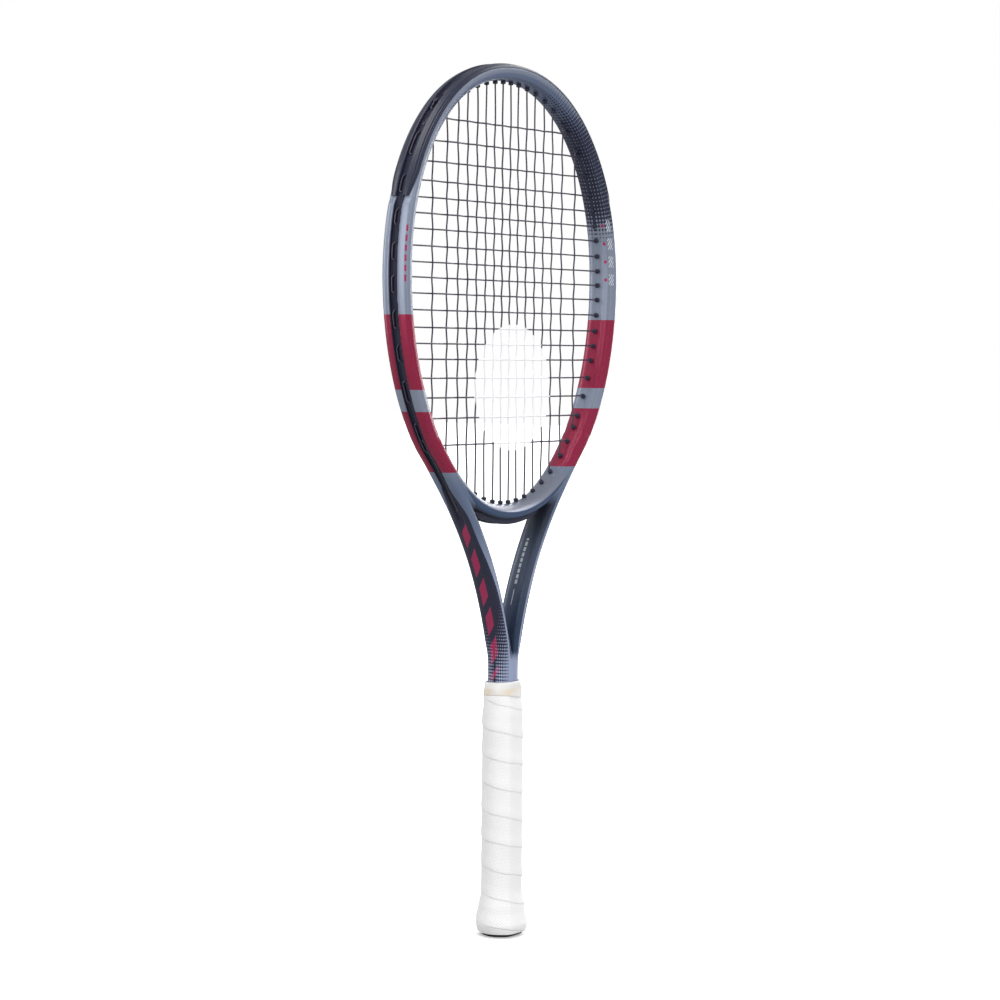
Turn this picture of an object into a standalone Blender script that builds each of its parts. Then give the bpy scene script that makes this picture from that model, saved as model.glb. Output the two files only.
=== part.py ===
"""Tennis racket, strung, standing upright on the butt of its handle.

Metres. +Z runs from the butt to the tip of the head, the string bed lies in the XZ plane and the
front face looks towards -Y. The origin is the middle of the butt's end face.
"""
import math

import bmesh
import bpy
import numpy as np
from mathutils import Matrix, Vector

MM = 0.001

# ---- driving dimensions -------------------------------------------------------------------------
LENGTH = 685.8 * MM                 # the standard 27 inch adult length
HEAD_CENTRE_Z = 519.0 * MM          # level of the widest place of the head
HOOP_HALF_WIDTH = 133.3 * MM        # to the tube's centreline
HOOP_DROP = 183.0 * MM              # widest place down to the bridge's centreline
HOOP_POWER = 2.1                    # the upper half is a slightly squared ellipse
TUBE_INNER = 6.5 * MM               # centreline to the face that looks at the strings
TUBE_OUTER = 6.4 * MM               # centreline to the outer face
TUBE_POWER = 2.6                    # squareness of the tube's section
WALL = 1.6 * MM
GAP = 0.3 * MM                      # clearance between pieces that touch

GUARD_THICKNESS = 1.2 * MM
GUARD_RECESS = 1.5 * MM             # the tube is this much thinner under the bumper guard
GUARD_END = math.radians(70.5)      # hoop angle from the tip where the guard stops
CHANNEL_FLOOR = 2.6 * MM            # channel for the grommet strip, out from the centreline
CHANNEL_HALF_WIDTH = 4.5 * MM
STRIP_THICKNESS = 0.9 * MM
STRIP_HALF_WIDTH = 3.75 * MM

STRING_DIAMETER = 1.3 * MM
BARREL_RADIUS = 1.5 * MM
BARREL_BORE = 0.95 * MM
BARREL_STANDOUT = 2.3 * MM
DRILL_RADIUS = 1.9 * MM
MAIN_OFFSETS = [5.05, 15.4, 26.4, 37.9, 50.1, 62.1, 75.9, 94.0]
CROSS_LEVELS = [639.0, 621.6, 605.4, 590.6, 577.9, 565.8, 554.0, 541.2, 529.0, 517.4,
                505.4, 492.8, 479.6, 467.4, 455.5, 441.1, 426.1, 410.3, 389.5]
MAIN_WEAVE = 1.15 * MM
CROSS_WEAVE = 0.6 * MM
LANE = 1.7 * MM                     # mains and crosses lie side by side in the outer channel

SHAFT_HALF_WIDTH = 11.0 * MM
SHAFT_HALF_DEPTH = 11.2 * MM
SHAFT_SEAM = 0.35 * MM              # half the seam between the two tube ends
TENON_HALF_SIZE = 10.0 * MM         # the shaft is slimmer inside the handle
SHAFT_END = 14.0 * MM
ARM_CENTRELINE = [(86.9, 381.4), (79.6, 372.3), (72.9, 363.6), (64.0, 352.3), (53.0, 337.0), (42.3, 320.0),
                  (31.3, 300.0), (22.3, 280.0), (15.7, 262.0), (11.0, 247.0), (7.9, 235.0), (6.3, 226.0)]
SHAFT_AXIS = 5.5 * MM
SHAFT_LEVELS = [217.0, 208.0, 197.0, 187.0]
THROAT_APEX = 223.0 * MM            # the two arms have met below this level

BRIDGE_UNDER = 5.6 * MM             # centreline to the underside in the middle
BRIDGE_HALF_DEPTH = 10.9 * MM
THROAT_STRIP_HEIGHT = 3.5 * MM
THROAT_STRIP_REACH = math.radians(17.2)

# octagonal handle: half width along X, half depth along Y, and where the sloping flats start
GRIP_HALF_WIDTH = 17.0 * MM
GRIP_HALF_DEPTH = 14.8 * MM
GRIP_FLAT = 9.0 * MM                # half of the wide flat that faces the front
GRIP_SIDE_FLAT = 4.8 * MM           # half of the narrow flat at the side
GRIP_THICKNESS = 1.5 * MM
PALLET_FOOT = 15.0 * MM
PALLET_SHOULDER = 176.0 * MM        # above this the handle tapers into the shaft
PALLET_TOP = 188.0 * MM
SKIRT_TOP = 36.0 * MM
SKIRT_THICKNESS = 1.0 * MM
CAP_FLOOR = 2.4 * MM
TAPE_THICKNESS = 0.5 * MM
TAPE_FOOT = 189.0 * MM
TAPE_TOP = 202.0 * MM
STAPLE_LEVEL = 31.5 * MM
STAPLE_HALF = 4.0 * MM              # half the distance between its legs
STAPLE_CROWN = 14.75 * MM
STAPLE_TIP = 11.6 * MM
STAPLE_WIRE = 0.6 * MM

ROUND_SIDES = 6                     # drilled holes and grommet barrels
TURNED_STEPS = 20


# ---- small tools --------------------------------------------------------------------------------
def remove_everything():
    for thing in list(bpy.data.objects):
        bpy.data.objects.remove(thing, do_unlink=True)


def new_collection(name):
    group = bpy.data.collections.new(name)
    bpy.context.scene.collection.children.link(group)
    return group


remove_everything()
RACKET = new_collection("tennis_racket")
CUTTERS = new_collection("cutters")


def material(name, colour, roughness, metallic=0.0):
    paint = bpy.data.materials.new(name)
    paint.use_nodes = True
    shader = paint.node_tree.nodes["Principled BSDF"]
    shader.inputs["Base Color"].default_value = (*colour, 1.0)
    shader.inputs["Roughness"].default_value = roughness
    shader.inputs["Metallic"].default_value = metallic
    return paint


def add_object(name, mesh, paint=None):
    thing = bpy.data.objects.new(name, mesh)
    if paint is None:
        CUTTERS.objects.link(thing)
        thing.hide_render = True
        thing.display_type = "WIRE"
    else:
        RACKET.objects.link(thing)
        mesh.materials.append(paint)
    return thing


def mesh_from(shape, name):
    bmesh.ops.recalc_face_normals(shape, faces=shape.faces)
    mesh = bpy.data.meshes.new(name)
    shape.to_mesh(mesh)
    shape.free()
    mesh.shade_smooth()
    mesh.set_sharp_from_angle(angle=math.radians(40))
    return mesh


def loft(name, rings, paint=None):
    """Closed solid through rings that all have the same number of points."""
    shape = bmesh.new()
    rows = [[shape.verts.new(point) for point in ring] for ring in rings]
    for low, high in zip(rows, rows[1:]):
        for i in range(len(low)):
            j = (i + 1) % len(low)
            shape.faces.new((low[i], low[j], high[j], high[i]))
    shape.faces.new(rows[0])
    shape.faces.new(rows[-1])
    return add_object(name, mesh_from(shape, name), paint)


def rods(name, spans, radius, paint=None):
    """Round bars between pairs of points, all in one mesh."""
    shape = bmesh.new()
    for start, end in spans:
        axis = end - start
        place = Matrix.Translation((start + end) / 2) @ axis.to_track_quat("Z", "Y").to_matrix().to_4x4()
        bmesh.ops.create_cone(shape, cap_ends=True, segments=ROUND_SIDES, radius1=radius, radius2=radius,
                              depth=axis.length, matrix=place)
    return add_object(name, mesh_from(shape, name), paint)


def boxes(name, corners, paint=None):
    """Blocks between pairs of opposite corners, all in one mesh."""
    shape = bmesh.new()
    for first, second in corners:
        first, second = Vector(first), Vector(second)
        size = [abs(a - b) for a, b in zip(first, second)]
        place = Matrix.Translation((first + second) / 2) @ Matrix.Diagonal((*size, 1.0))
        bmesh.ops.create_cube(shape, size=1.0, matrix=place)
    return add_object(name, mesh_from(shape, name), paint)


def turned(name, profile, paint=None):
    """Round solid about Z from (radius, height) pairs in millimetres, listed from the top down."""
    shape = bmesh.new()
    knots = [shape.verts.new((radius * MM, 0.0, height * MM)) for radius, height in profile]
    for upper, lower in zip(knots, knots[1:]):
        shape.edges.new((upper, lower))
    mesh = bpy.data.meshes.new(name)
    shape.to_mesh(mesh)
    shape.free()
    thing = add_object(name, mesh, paint)
    spin = thing.modifiers.new("turn", "SCREW")
    spin.steps = TURNED_STEPS
    spin.render_steps = TURNED_STEPS
    spin.use_merge_vertices = True
    spin.merge_threshold = 0.00001
    return thing


def combine(thing, other, operation):
    step = thing.modifiers.new(f"{operation.lower()}_{other.name}", "BOOLEAN")
    step.operation = operation
    step.object = other


def between(value, levels, sizes):
    return float(np.interp(value, levels, sizes))


def smooth(value, low, high):
    t = min(max((value - low) / (high - low), 0.0), 1.0)
    return t * t * (3.0 - 2.0 * t)


# ---- the hoop's centreline ----------------------------------------------------------------------
GUARD_CLEARANCE = GAP + 0.1 * MM
GUARD_TOP = TUBE_OUTER - GUARD_RECESS + GUARD_CLEARANCE + GUARD_THICKNESS
HOOP_RISE = LENGTH - GUARD_TOP - HEAD_CENTRE_Z


def hoop_point(angle):
    """Centreline of the head: angle 0 is the tip, +-90 degrees the widest place, 180 the bridge."""
    s, c = math.sin(angle), math.cos(angle)
    if c < 0:
        return HOOP_HALF_WIDTH * s, HEAD_CENTRE_Z + HOOP_DROP * c
    power = 2.0 / HOOP_POWER
    return (math.copysign(HOOP_HALF_WIDTH * abs(s) ** power, s),
            HEAD_CENTRE_Z + HOOP_RISE * abs(c) ** power)


def hoop_normal(angle):
    """Unit vector that points out of the head, in its plane."""
    x, z = hoop_point(angle)
    height = z - HEAD_CENTRE_Z
    if height < 0:
        across, up = x / HOOP_HALF_WIDTH ** 2, height / HOOP_DROP ** 2
    else:
        power = HOOP_POWER - 1.0
        across = math.copysign((abs(x) / HOOP_HALF_WIDTH) ** power / HOOP_HALF_WIDTH, x)
        up = (height / HOOP_RISE) ** power / HOOP_RISE
    size = math.hypot(across, up)
    return across / size, up / size


def hoop_offset(angle, distance):
    x, z = hoop_point(angle)
    across, up = hoop_normal(angle)
    return x + across * distance, z + up * distance


def hoop_angle_where(test, low, high):
    """Angle between low and high at which test() changes sign."""
    rising = test(high) > test(low)
    for _ in range(50):
        middle = (low + high) / 2
        if (test(middle) > 0) == rising:
            high = middle
        else:
            low = middle
    return (low + high) / 2


# ---- the tube: one moulded hairpin from shaft end to shaft end ----------------------------------
HOOP_STEP = math.radians(9.0)
HOOP_STATIONS = 15                  # per side, down to where the arm leaves the ellipse
HOOP_ANGLES = sorted([i * HOOP_STEP for i in range(HOOP_STATIONS + 1)] + [GUARD_END])


def tube_path():
    """Right half of the tube's centreline: (x, z, normal x, normal z), from the tip to the shaft's end."""
    path = [(*hoop_point(angle), *hoop_normal(angle)) for angle in HOOP_ANGLES]
    lower = [(x * MM, z * MM) for x, z in ARM_CENTRELINE]
    lower += [(SHAFT_AXIS, z * MM) for z in SHAFT_LEVELS]
    lower.append((SHAFT_AXIS, SHAFT_END))
    spine = [path[-1][:2]] + lower
    for i in range(1, len(spine)):
        back = spine[i - 1]
        ahead = spine[min(i + 1, len(spine) - 1)]
        across, down = ahead[0] - back[0], ahead[1] - back[1]
        size = math.hypot(across, down)
        path.append((*spine[i], -down / size, across / size))
    return path


PATH = tube_path()
GUARD_LEVEL = hoop_point(GUARD_END)[1]


def half_depth(z):
    return between(z, [200 * MM, 300 * MM, 345 * MM, 430 * MM, 520 * MM, 690 * MM],
                   [11.2 * MM, 11.0 * MM, 11.5 * MM, 13.0 * MM, 13.0 * MM, 11.4 * MM])


def outer_reach(z):
    """Centreline to the tube's outer face: recessed under the guard, slimmer down the arms."""
    plain = between(z, [235 * MM, 345 * MM, 385 * MM], [5.5 * MM, 5.3 * MM, TUBE_OUTER])
    return plain - GUARD_RECESS * smooth(z, GUARD_LEVEL - 9 * MM, GUARD_LEVEL)


def inner_reach(z):
    return between(z, [235 * MM, 345 * MM, 385 * MM], [5.5 * MM, 5.3 * MM, TUBE_INNER])


def channel_depth(z):
    """The channel fades out on the upper part of the arms."""
    return (outer_reach(z) - CHANNEL_FLOOR) * smooth(z, 322 * MM, 336 * MM)


def arc(angle, reach, depth):
    """Point on a squared ellipse, as (across the tube, along Y)."""
    power = 2.0 / TUBE_POWER
    c, s = math.cos(angle), math.sin(angle)
    return (math.copysign(reach * abs(c) ** power, c), math.copysign(depth * abs(s) ** power, s))


def tube_section(z):
    """Outline of the tube as (out from the centreline, along Y), from the front around to the back."""
    reach, inside, depth = outer_reach(z), inner_reach(z), half_depth(z)
    lip = reach * (1.0 - (CHANNEL_HALF_WIDTH / depth) ** TUBE_POWER) ** (1.0 / TUBE_POWER)
    floor = lip - max(channel_depth(z) - (reach - lip), 0.0)
    foot = CHANNEL_HALF_WIDTH - 0.4 * MM
    outline = [arc(math.radians(a), reach, depth) for a in (-62, -34)]
    outline += [(lip, -CHANNEL_HALF_WIDTH), (floor, -foot), (floor, foot), (lip, CHANNEL_HALF_WIDTH)]
    outline += [arc(math.radians(a), reach, depth) for a in (34, 62, 90)]
    outline += [arc(math.radians(a), inside, depth) for a in (118, 148, 180, 212, 242, 270)]
    return outline


def shaft_section(width, depth):
    """Half of the shaft, flat at the seam, with as many points as tube_section()."""
    def skin(y):
        return width * (1.0 - (abs(y) / depth) ** TUBE_POWER) ** (1.0 / TUBE_POWER) - SHAFT_AXIS
    flat = SHAFT_SEAM - SHAFT_AXIS
    foot = CHANNEL_HALF_WIDTH - 0.4 * MM
    levels = (foot, CHANNEL_HALF_WIDTH, 0.62 * depth, 0.86 * depth)
    outside = [(skin(y), -y) for y in reversed(levels)] + [(skin(y), y) for y in levels]
    shoulder = 0.36 * width
    top = depth * (1.0 - (shoulder / width) ** TUBE_POWER) ** (1.0 / TUBE_POWER)
    edge = (flat + WALL, depth * 0.99)
    inside = [(shoulder - SHAFT_AXIS, top), edge, (flat, depth * 0.975), (flat, 0.0)]
    return outside + inside + [(out, -y) for out, y in reversed(inside[:3])]


def cavity_section(z):
    """Eight-sided hollow of the tube."""
    reach, inside, depth = outer_reach(z), inner_reach(z), half_depth(z)
    out = min(reach - channel_depth(z), reach) - WALL
    inn = inside - WALL
    centre, half = (out - inn) / 2, (out + inn) / 2
    eighths = [(1, -0.5), (1, 0.5), (0.45, 1), (-0.45, 1), (-1, 0.5), (-1, -0.5), (-0.45, -1), (0.45, -1)]
    return [(centre + half * x, (depth - WALL) * 0.93 * y) for x, y in eighths]


def shaft_cavity(width, depth):
    low, high = SHAFT_SEAM + WALL - SHAFT_AXIS, width - WALL - SHAFT_AXIS
    centre, half = (low + high) / 2, (high - low) / 2
    upper = [(1, 0.4), (0.3, 0.88), (-0.8, 0.92), (-1, 0.5)]
    eighths = [(1, -0.4)] + upper + [(x, -y) for x, y in reversed(upper[1:])]
    return [(centre + half * x, (depth - WALL) * y) for x, y in eighths]


def blend(first, second, weight):
    return [((1 - weight) * a + weight * c, (1 - weight) * b + weight * d)
            for (a, b), (c, d) in zip(first, second)]


def place_ring(station, section, side):
    x, z, across, up = station
    return [Vector((side * (x + across * out), y, z + up * out)) for out, y in section]


def tube_rings(section, shaft):
    """Rings from the left shaft end, around the head, to the right shaft end."""
    half = []
    for station in PATH:
        z = station[1]
        slim = smooth(z, 197 * MM, 187 * MM)
        width = SHAFT_HALF_WIDTH + (TENON_HALF_SIZE - SHAFT_HALF_WIDTH) * slim
        depth = SHAFT_HALF_DEPTH + (TENON_HALF_SIZE - SHAFT_HALF_DEPTH) * slim
        outline = blend(section(z), shaft(width, depth), smooth(z, 236 * MM, 214 * MM))
        half.append((station, outline))
    left = [place_ring(station, outline, -1) for station, outline in reversed(half)]
    right = [place_ring(station, outline, 1) for station, outline in half[1:]]
    return left + right


# ---- string holes -------------------------------------------------------------------------------
class Hole:
    """A string's way through the frame: mouth on the inside, exit on the strip outside."""

    def __init__(self, angle, along, lean, on_bridge):
        surface = Vector(hoop_offset(angle, -TUBE_INNER))
        normal = Vector(hoop_normal(angle))
        self.angle = angle
        self.direction = (along * (1 - lean) + normal * lean).normalized()
        self.mouth = surface - self.direction * BARREL_STANDOUT
        self.on_bridge = on_bridge

    def at(self, reach):
        """Point on the hole's axis that lies this far out from the centreline."""
        low, high = 0.0, 40 * MM
        for _ in range(40):
            middle = (low + high) / 2
            if distance_out(self.mouth + self.direction * middle, self.on_bridge) < reach:
                low = middle
            else:
                high = middle
        return self.mouth + self.direction * high


def flat(point, y=0.0):
    return Vector((point[0], y, point[1]))


def distance_out(point, on_bridge):
    """Signed distance from the centreline of the tube, or of the bridge."""
    side = abs(point[0])
    line = BRIDGE_LINE if on_bridge else TUBE_LINE
    best = min(range(len(line) - 1), key=lambda i: math.hypot(line[i][0] - side, line[i][1] - point[1]))
    x, z, across, up = line[best]
    return (side - x) * across + (point[1] - z) * up


def fine_line(stations, parts=12):
    line = []
    for a, b in zip(stations, stations[1:]):
        line += [tuple(p + (q - p) * k / parts for p, q in zip(a, b)) for k in range(parts)]
    return line


TUBE_LINE = fine_line(PATH)
BRIDGE_LINE = [(*hoop_point(math.pi - a), *hoop_normal(math.pi - a)) for a in np.linspace(-0.05, 1.0, 240)]

THROAT_MAINS = 4                    # per side, through the bridge; the others come out on the arms
HOLE_LEAN = 0.55                   # how far a hole turns from the string's line to the tube's normal


def main_holes():
    holes = []
    for side in (-1, 1):
        for i, offset in enumerate(MAIN_OFFSETS):
            x = side * offset * MM
            top = hoop_angle_where(lambda a: hoop_offset(a, -TUBE_INNER)[0] - x, -1.5, 1.5)
            low = hoop_angle_where(lambda a: hoop_offset(a, -TUBE_INNER)[0] - x, 1.7, 2 * math.pi - 1.7)
            bridged = i < THROAT_MAINS
            lean = 0.0 if bridged else 1.0
            upper = Hole(top, Vector((0, 1)), HOLE_LEAN, False)
            holes.append((x, upper, Hole(low, Vector((0, -1)), lean, bridged)))
    return sorted(holes, key=lambda entry: entry[0])


def cross_holes():
    holes = []
    for level in CROSS_LEVELS:
        z = level * MM
        pair = []
        for side in (-1, 1):
            angle = hoop_angle_where(lambda a: hoop_offset(a, -TUBE_INNER)[1] - z, 0.2, 2.9)
            pair.append(Hole(side * angle, Vector((side, 0)), HOLE_LEAN, False))
        holes.append((z, *pair))
    return holes


MAINS = main_holes()
CROSSES = cross_holes()


def upper_holes():
    return [top for _, top, _ in MAINS]


def side_holes(side):
    """Holes that come out on one side: the crosses and the outer mains' lower ends."""
    lower = [low for x, _, low in MAINS if not low.on_bridge and x * side > 0]
    return lower + [right if side > 0 else left for _, left, right in CROSSES]


def throat_holes():
    return [low for _, _, low in MAINS if low.on_bridge]


def tip_angle(hole):
    return abs(math.atan2(math.sin(hole.angle), math.cos(hole.angle)))


GUARD_HOLES = [hole for hole in upper_holes() + side_holes(-1) + side_holes(1) if tip_angle(hole) < GUARD_END]


# ---- the frame ----------------------------------------------------------------------------------
def bridge_rings():
    rings = []
    for angle in np.linspace(-math.radians(47), math.radians(47), 21):
        turn = math.pi - angle
        station = (*hoop_point(turn), *hoop_normal(turn))
        spread = abs(math.degrees(angle))
        inner = TUBE_INNER - 0.3 * MM * smooth(spread, 30, 44)
        under = between(spread, [18, 26, 30, 35, 40, 47],
                        [BRIDGE_UNDER, 5.2 * MM, 4.4 * MM, 3.2 * MM, 2.0 * MM, 1.6 * MM])
        depth = BRIDGE_HALF_DEPTH
        outline = [arc(math.radians(a), under, depth) for a in (-60, -30, 0, 30, 60, 90)]
        outline += [arc(math.radians(a), inner, depth) for a in (120, 150, 180, 210, 240, 270)]
        rings.append(place_ring(station, outline, 1))
    return rings


def frame(paint):
    """Hollow moulded tube with the bridge across the throat, drilled for every string."""
    body = loft("frame", tube_rings(tube_section, shaft_section), paint)
    low, high = (-1.2 * MM, -9.6 * MM, SHAFT_END + MM), (1.2 * MM, 9.6 * MM, THROAT_APEX)
    web = boxes("seam_web", [(low, high)])
    low, high = (-0.9 * MM, -10.8 * MM, PALLET_TOP + 2 * MM), (0.9 * MM, 10.8 * MM, THROAT_APEX - 4 * MM)
    combine(web, boxes("seam_cover", [(low, high)]), "UNION")
    combine(body, web, "UNION")
    combine(body, loft("bridge_blank", bridge_rings()), "UNION")
    hollow = tube_rings(cavity_section, shaft_cavity)
    for ring in (hollow[0], hollow[-1]):
        for point in ring:
            point.z -= 4 * MM
    combine(body, loft("tube_hollow", hollow), "DIFFERENCE")
    spans = []
    for hole in upper_holes() + side_holes(-1) + side_holes(1):
        spans.append((flat(hole.mouth - hole.direction * MM), flat(hole.at(9 * MM))))
    for hole in throat_holes():
        spans.append((flat(hole.mouth - hole.direction * MM), flat(hole.at(14 * MM))))
    combine(body, rods("string_drill", spans, DRILL_RADIUS), "DIFFERENCE")
    return body


# ---- grommet strips -----------------------------------------------------------------------------
STRIP_FOOT = CHANNEL_FLOOR + GAP
STRIP_FACE = STRIP_FOOT + STRIP_THICKNESS
STRING_REACH = STRIP_FACE + GAP + STRING_DIAMETER / 2
THROAT_FOOT = BRIDGE_UNDER + GAP
THROAT_FACE = THROAT_FOOT + 1.1 * MM
THROAT_STRING = THROAT_FACE + GAP + STRING_DIAMETER / 2


def path_between(low, high):
    """Stations of the tube from angle low to high on the hoop, with a ring exactly at each end."""
    steps = [-angle for angle in reversed(HOOP_ANGLES[1:])] + HOOP_ANGLES
    angles = [low] + [a for a in steps if low + 0.01 < a < high - 0.01] + [high]
    return [(*hoop_point(a), *hoop_normal(a)) for a in angles]


def add_barrels(strip, holes, foot):
    """Barrels moulded onto a strip, then their bores."""
    spans = [(flat(hole.mouth + hole.direction * GAP), flat(hole.at(foot + 0.25 * MM))) for hole in holes]
    bores = [(flat(hole.mouth - hole.direction * MM), flat(hole.at(foot + 4 * MM))) for hole in holes]
    combine(strip, rods(f"{strip.name}_barrels", spans, BARREL_RADIUS), "UNION")
    combine(strip, rods(f"{strip.name}_bores", bores, BARREL_BORE), "DIFFERENCE")
    return strip


def guard_section(z):
    """Channel in the middle and a wing over each shoulder of the tube."""
    reach, depth = outer_reach(z) + GUARD_CLEARANCE, half_depth(z) + GAP
    channel = STRIP_HALF_WIDTH - 0.75 * MM
    near, far = arc(math.radians(34), reach, depth), arc(math.radians(58), reach, depth)
    skin = GUARD_THICKNESS
    inside = [(STRIP_FOOT, STRIP_HALF_WIDTH), (reach, STRIP_HALF_WIDTH), near, far]
    outside = [(far[0] + skin * 0.7, far[1] + skin * 0.5), (near[0] + skin * 0.95, near[1] + skin * 0.2),
               (reach + skin, STRIP_HALF_WIDTH), (reach + skin - GAP, channel), (STRIP_FACE, channel)]
    half = inside + outside
    return half + [(out, -y) for out, y in reversed(half)]


def bumper_guard(paint):
    rings = []
    for station in path_between(-GUARD_END, GUARD_END):
        rings.append(place_ring(station, guard_section(station[1]), 1))
    guard = loft("bumper_guard", rings, paint)
    return add_barrels(guard, GUARD_HOLES, STRIP_FOOT)


def strip_section(z):
    wall = 0.7 * MM
    top = outer_reach(z) - 0.5 * MM
    wide, narrow = STRIP_HALF_WIDTH, STRIP_HALF_WIDTH - wall
    return [(STRIP_FOOT, -wide), (STRIP_FOOT, wide), (top, wide), (top, narrow),
            (STRIP_FACE, narrow), (STRIP_FACE, -narrow), (top, -narrow), (top, -wide)]


def side_strip(name, side, paint):
    """From the bumper guard's end down onto the arm, where the channel runs out."""
    start = GUARD_END + 0.006
    hoop = path_between(start, HOOP_ANGLES[-1])
    arm = [station for station in PATH[len(HOOP_ANGLES):] if station[1] > 336 * MM]
    rings = [place_ring(station, strip_section(station[1]), side) for station in hoop + arm]
    strip = loft(name, rings, paint)
    holes = [hole for hole in side_holes(side) if tip_angle(hole) > GUARD_END]
    return add_barrels(strip, holes, STRIP_FOOT)


def throat_strip(paint):
    """Raised channel under the bridge, with rounded-off ends."""
    rings = []
    for step in np.linspace(-1, 1, 11):
        turn = math.pi - step * THROAT_STRIP_REACH
        station = (*hoop_point(turn), *hoop_normal(turn))
        height = THROAT_STRIP_HEIGHT * (1.0 - 0.45 * smooth(abs(step), 0.85, 1.0))
        top = THROAT_FOOT + height
        wide, narrow = 4.6 * MM, 3.4 * MM
        outline = [(THROAT_FOOT, -wide), (THROAT_FOOT, wide), (top - 0.6 * MM, wide), (top, wide - 0.6 * MM),
                   (top, narrow), (THROAT_FACE, narrow), (THROAT_FACE, -narrow), (top, -narrow),
                   (top, 0.6 * MM - wide), (top - 0.6 * MM, -wide)]
        rings.append(place_ring(station, outline, 1))
    strip = loft("grommet_strip_throat", rings, paint)
    return add_barrels(strip, throat_holes(), THROAT_FOOT)


# ---- strings ------------------------------------------------------------------------------------
def weave(column, row, amount):
    """Mains pass in front of (-Y) every other cross."""
    return amount if (column + row) % 2 else -amount


def outside_run(first, second, lane, on_bridge=False):
    """Points along the outer channel from one hole to the next."""
    reach = THROAT_STRING if on_bridge else STRING_REACH
    start, end = first.at(reach), second.at(reach)
    gap = (end - start).length
    points = [flat(start)]
    for share in (2.4 * MM / gap, 0.5, 1 - 2.4 * MM / gap):
        spot = start.lerp(end, share)
        line = BRIDGE_LINE if on_bridge else TUBE_LINE
        side = math.copysign(1.0, spot[0])
        x, z, across, up = min(line, key=lambda s: math.hypot(s[0] - abs(spot[0]), s[1] - spot[1]))
        lift = 0.35 * MM if share == 0.5 else 0.1 * MM
        points.append(Vector((side * (x + across * (reach + lift)), lane, z + up * (reach + lift))))
    return points + [flat(end)]


def loose_end(hole, towards, lane):
    """A tied-off end: the string leaves its hole and lies in the channel for a short way."""
    return outside_run(hole, towards, lane)[:2]


def main_string_points():
    points = []
    for column, (x, top, low) in enumerate(MAINS, 1):
        crossings = []
        for row, (z, left, right) in enumerate(CROSSES, 1):
            if left.mouth.x + MM < x < right.mouth.x - MM and low.mouth.y < z < top.mouth.y:
                share = (z - low.mouth.y) / (top.mouth.y - low.mouth.y)
                across = low.mouth.x + (top.mouth.x - low.mouth.x) * share
                crossings.append(Vector((across, weave(column, row, MAIN_WEAVE), z)))
        run = [flat(top.mouth)] + crossings + [flat(low.mouth)]
        upward = column % 2 == 0
        if upward:
            run.reverse()
        first, last = (low, top) if upward else (top, low)
        if column == 1:
            points += reversed(loose_end(first, CROSSES[1][1], -LANE))
        points += run
        if column < len(MAINS):
            following = MAINS[column][1 if upward else 2]
            points += outside_run(last, following, -LANE, last.on_bridge)
        else:
            points += loose_end(last, CROSSES[1][2], -LANE)
    return points


def cross_string_points():
    points = []
    for row, (z, left, right) in enumerate(CROSSES, 1):
        run = []
        for column, (x, top, low) in enumerate(MAINS, 1):
            if left.mouth.x + MM < x < right.mouth.x - MM and low.mouth.y < z < top.mouth.y:
                share = (x - left.mouth.x) / (right.mouth.x - left.mouth.x)
                level = left.mouth.y + (right.mouth.y - left.mouth.y) * share
                run.append(Vector((x, -weave(column, row, CROSS_WEAVE), level)))
        run = [flat(left.mouth)] + run + [flat(right.mouth)]
        rightward = row % 2 == 1
        if not rightward:
            run.reverse()
        last = right if rightward else left
        if row == 1:
            points += reversed(loose_end(left, MAINS[1][1], LANE))
        points += run
        if row < len(CROSSES):
            following = CROSSES[row][2 if rightward else 1]
            points += outside_run(last, following, LANE)
        else:
            points += loose_end(last, MAINS[-2][2], LANE)
    return points


def wire(name, points, diameter, paint):
    curve = bpy.data.curves.new(name, "CURVE")
    curve.dimensions = "3D"
    curve.bevel_depth = diameter / 2
    curve.bevel_resolution = 0
    curve.render_resolution_u = 0
    curve.use_fill_caps = True
    spline = curve.splines.new("POLY")
    spline.points.add(len(points) - 1)
    for knot, point in zip(spline.points, points):
        knot.co = (*point, 1.0)
    thing = bpy.data.objects.new(name, curve)
    RACKET.objects.link(thing)
    curve.materials.append(paint)
    return thing


# ---- handle -------------------------------------------------------------------------------------
def octagon(width, depth, z, rounding=0.0):
    """Sixteen points around a racket handle; rounding 1 gives the shaft's rounder section."""
    side, front = GRIP_SIDE_FLAT / GRIP_HALF_DEPTH, GRIP_FLAT / GRIP_HALF_WIDTH
    quarter = [(1.0, side), ((1.0 + front) / 2, (1.0 + side) / 2), (front, 1.0)]
    half = [(1.0, 0.0)] + quarter + [(0.0, 1.0)] + [(-x, y) for x, y in reversed(quarter)]
    points = []
    for x, y in half + [(-x, -y) for x, y in half]:
        ray = (abs(x) ** TUBE_POWER + abs(y) ** TUBE_POWER) ** (-1.0 / TUBE_POWER)
        scale = 1.0 + (ray - 1.0) * rounding
        points.append(Vector((x * width * scale, y * depth * scale, z)))
    return points


# the grip's outline: level in millimetres, and its size against the straight part of the handle
BUTT_FLARE = [(3.0, 1.14), (5.5, 1.21), (9.0, 1.263), (14.0, 1.22), (19.0, 1.155), (24.0, 1.12), (29.0, 1.05),
              (34.0, 1.0)]
GRIP_TAPER = [(176.0, 1.0), (183.0, 0.955), (189.0, 0.92), (196.0, 0.865)]


def grip_levels():
    return [level * MM for level, _ in BUTT_FLARE + GRIP_TAPER]


def grip_ring(z, inset):
    """The grip's outline at a level, moved in; it turns from an octagon to the shaft's section."""
    scale = between(z, grip_levels(), [size for _, size in BUTT_FLARE + GRIP_TAPER])
    rounding = smooth(z, PALLET_SHOULDER, TAPE_TOP)
    return octagon(GRIP_HALF_WIDTH * scale - inset, GRIP_HALF_DEPTH * scale - inset, z, rounding)


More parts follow.
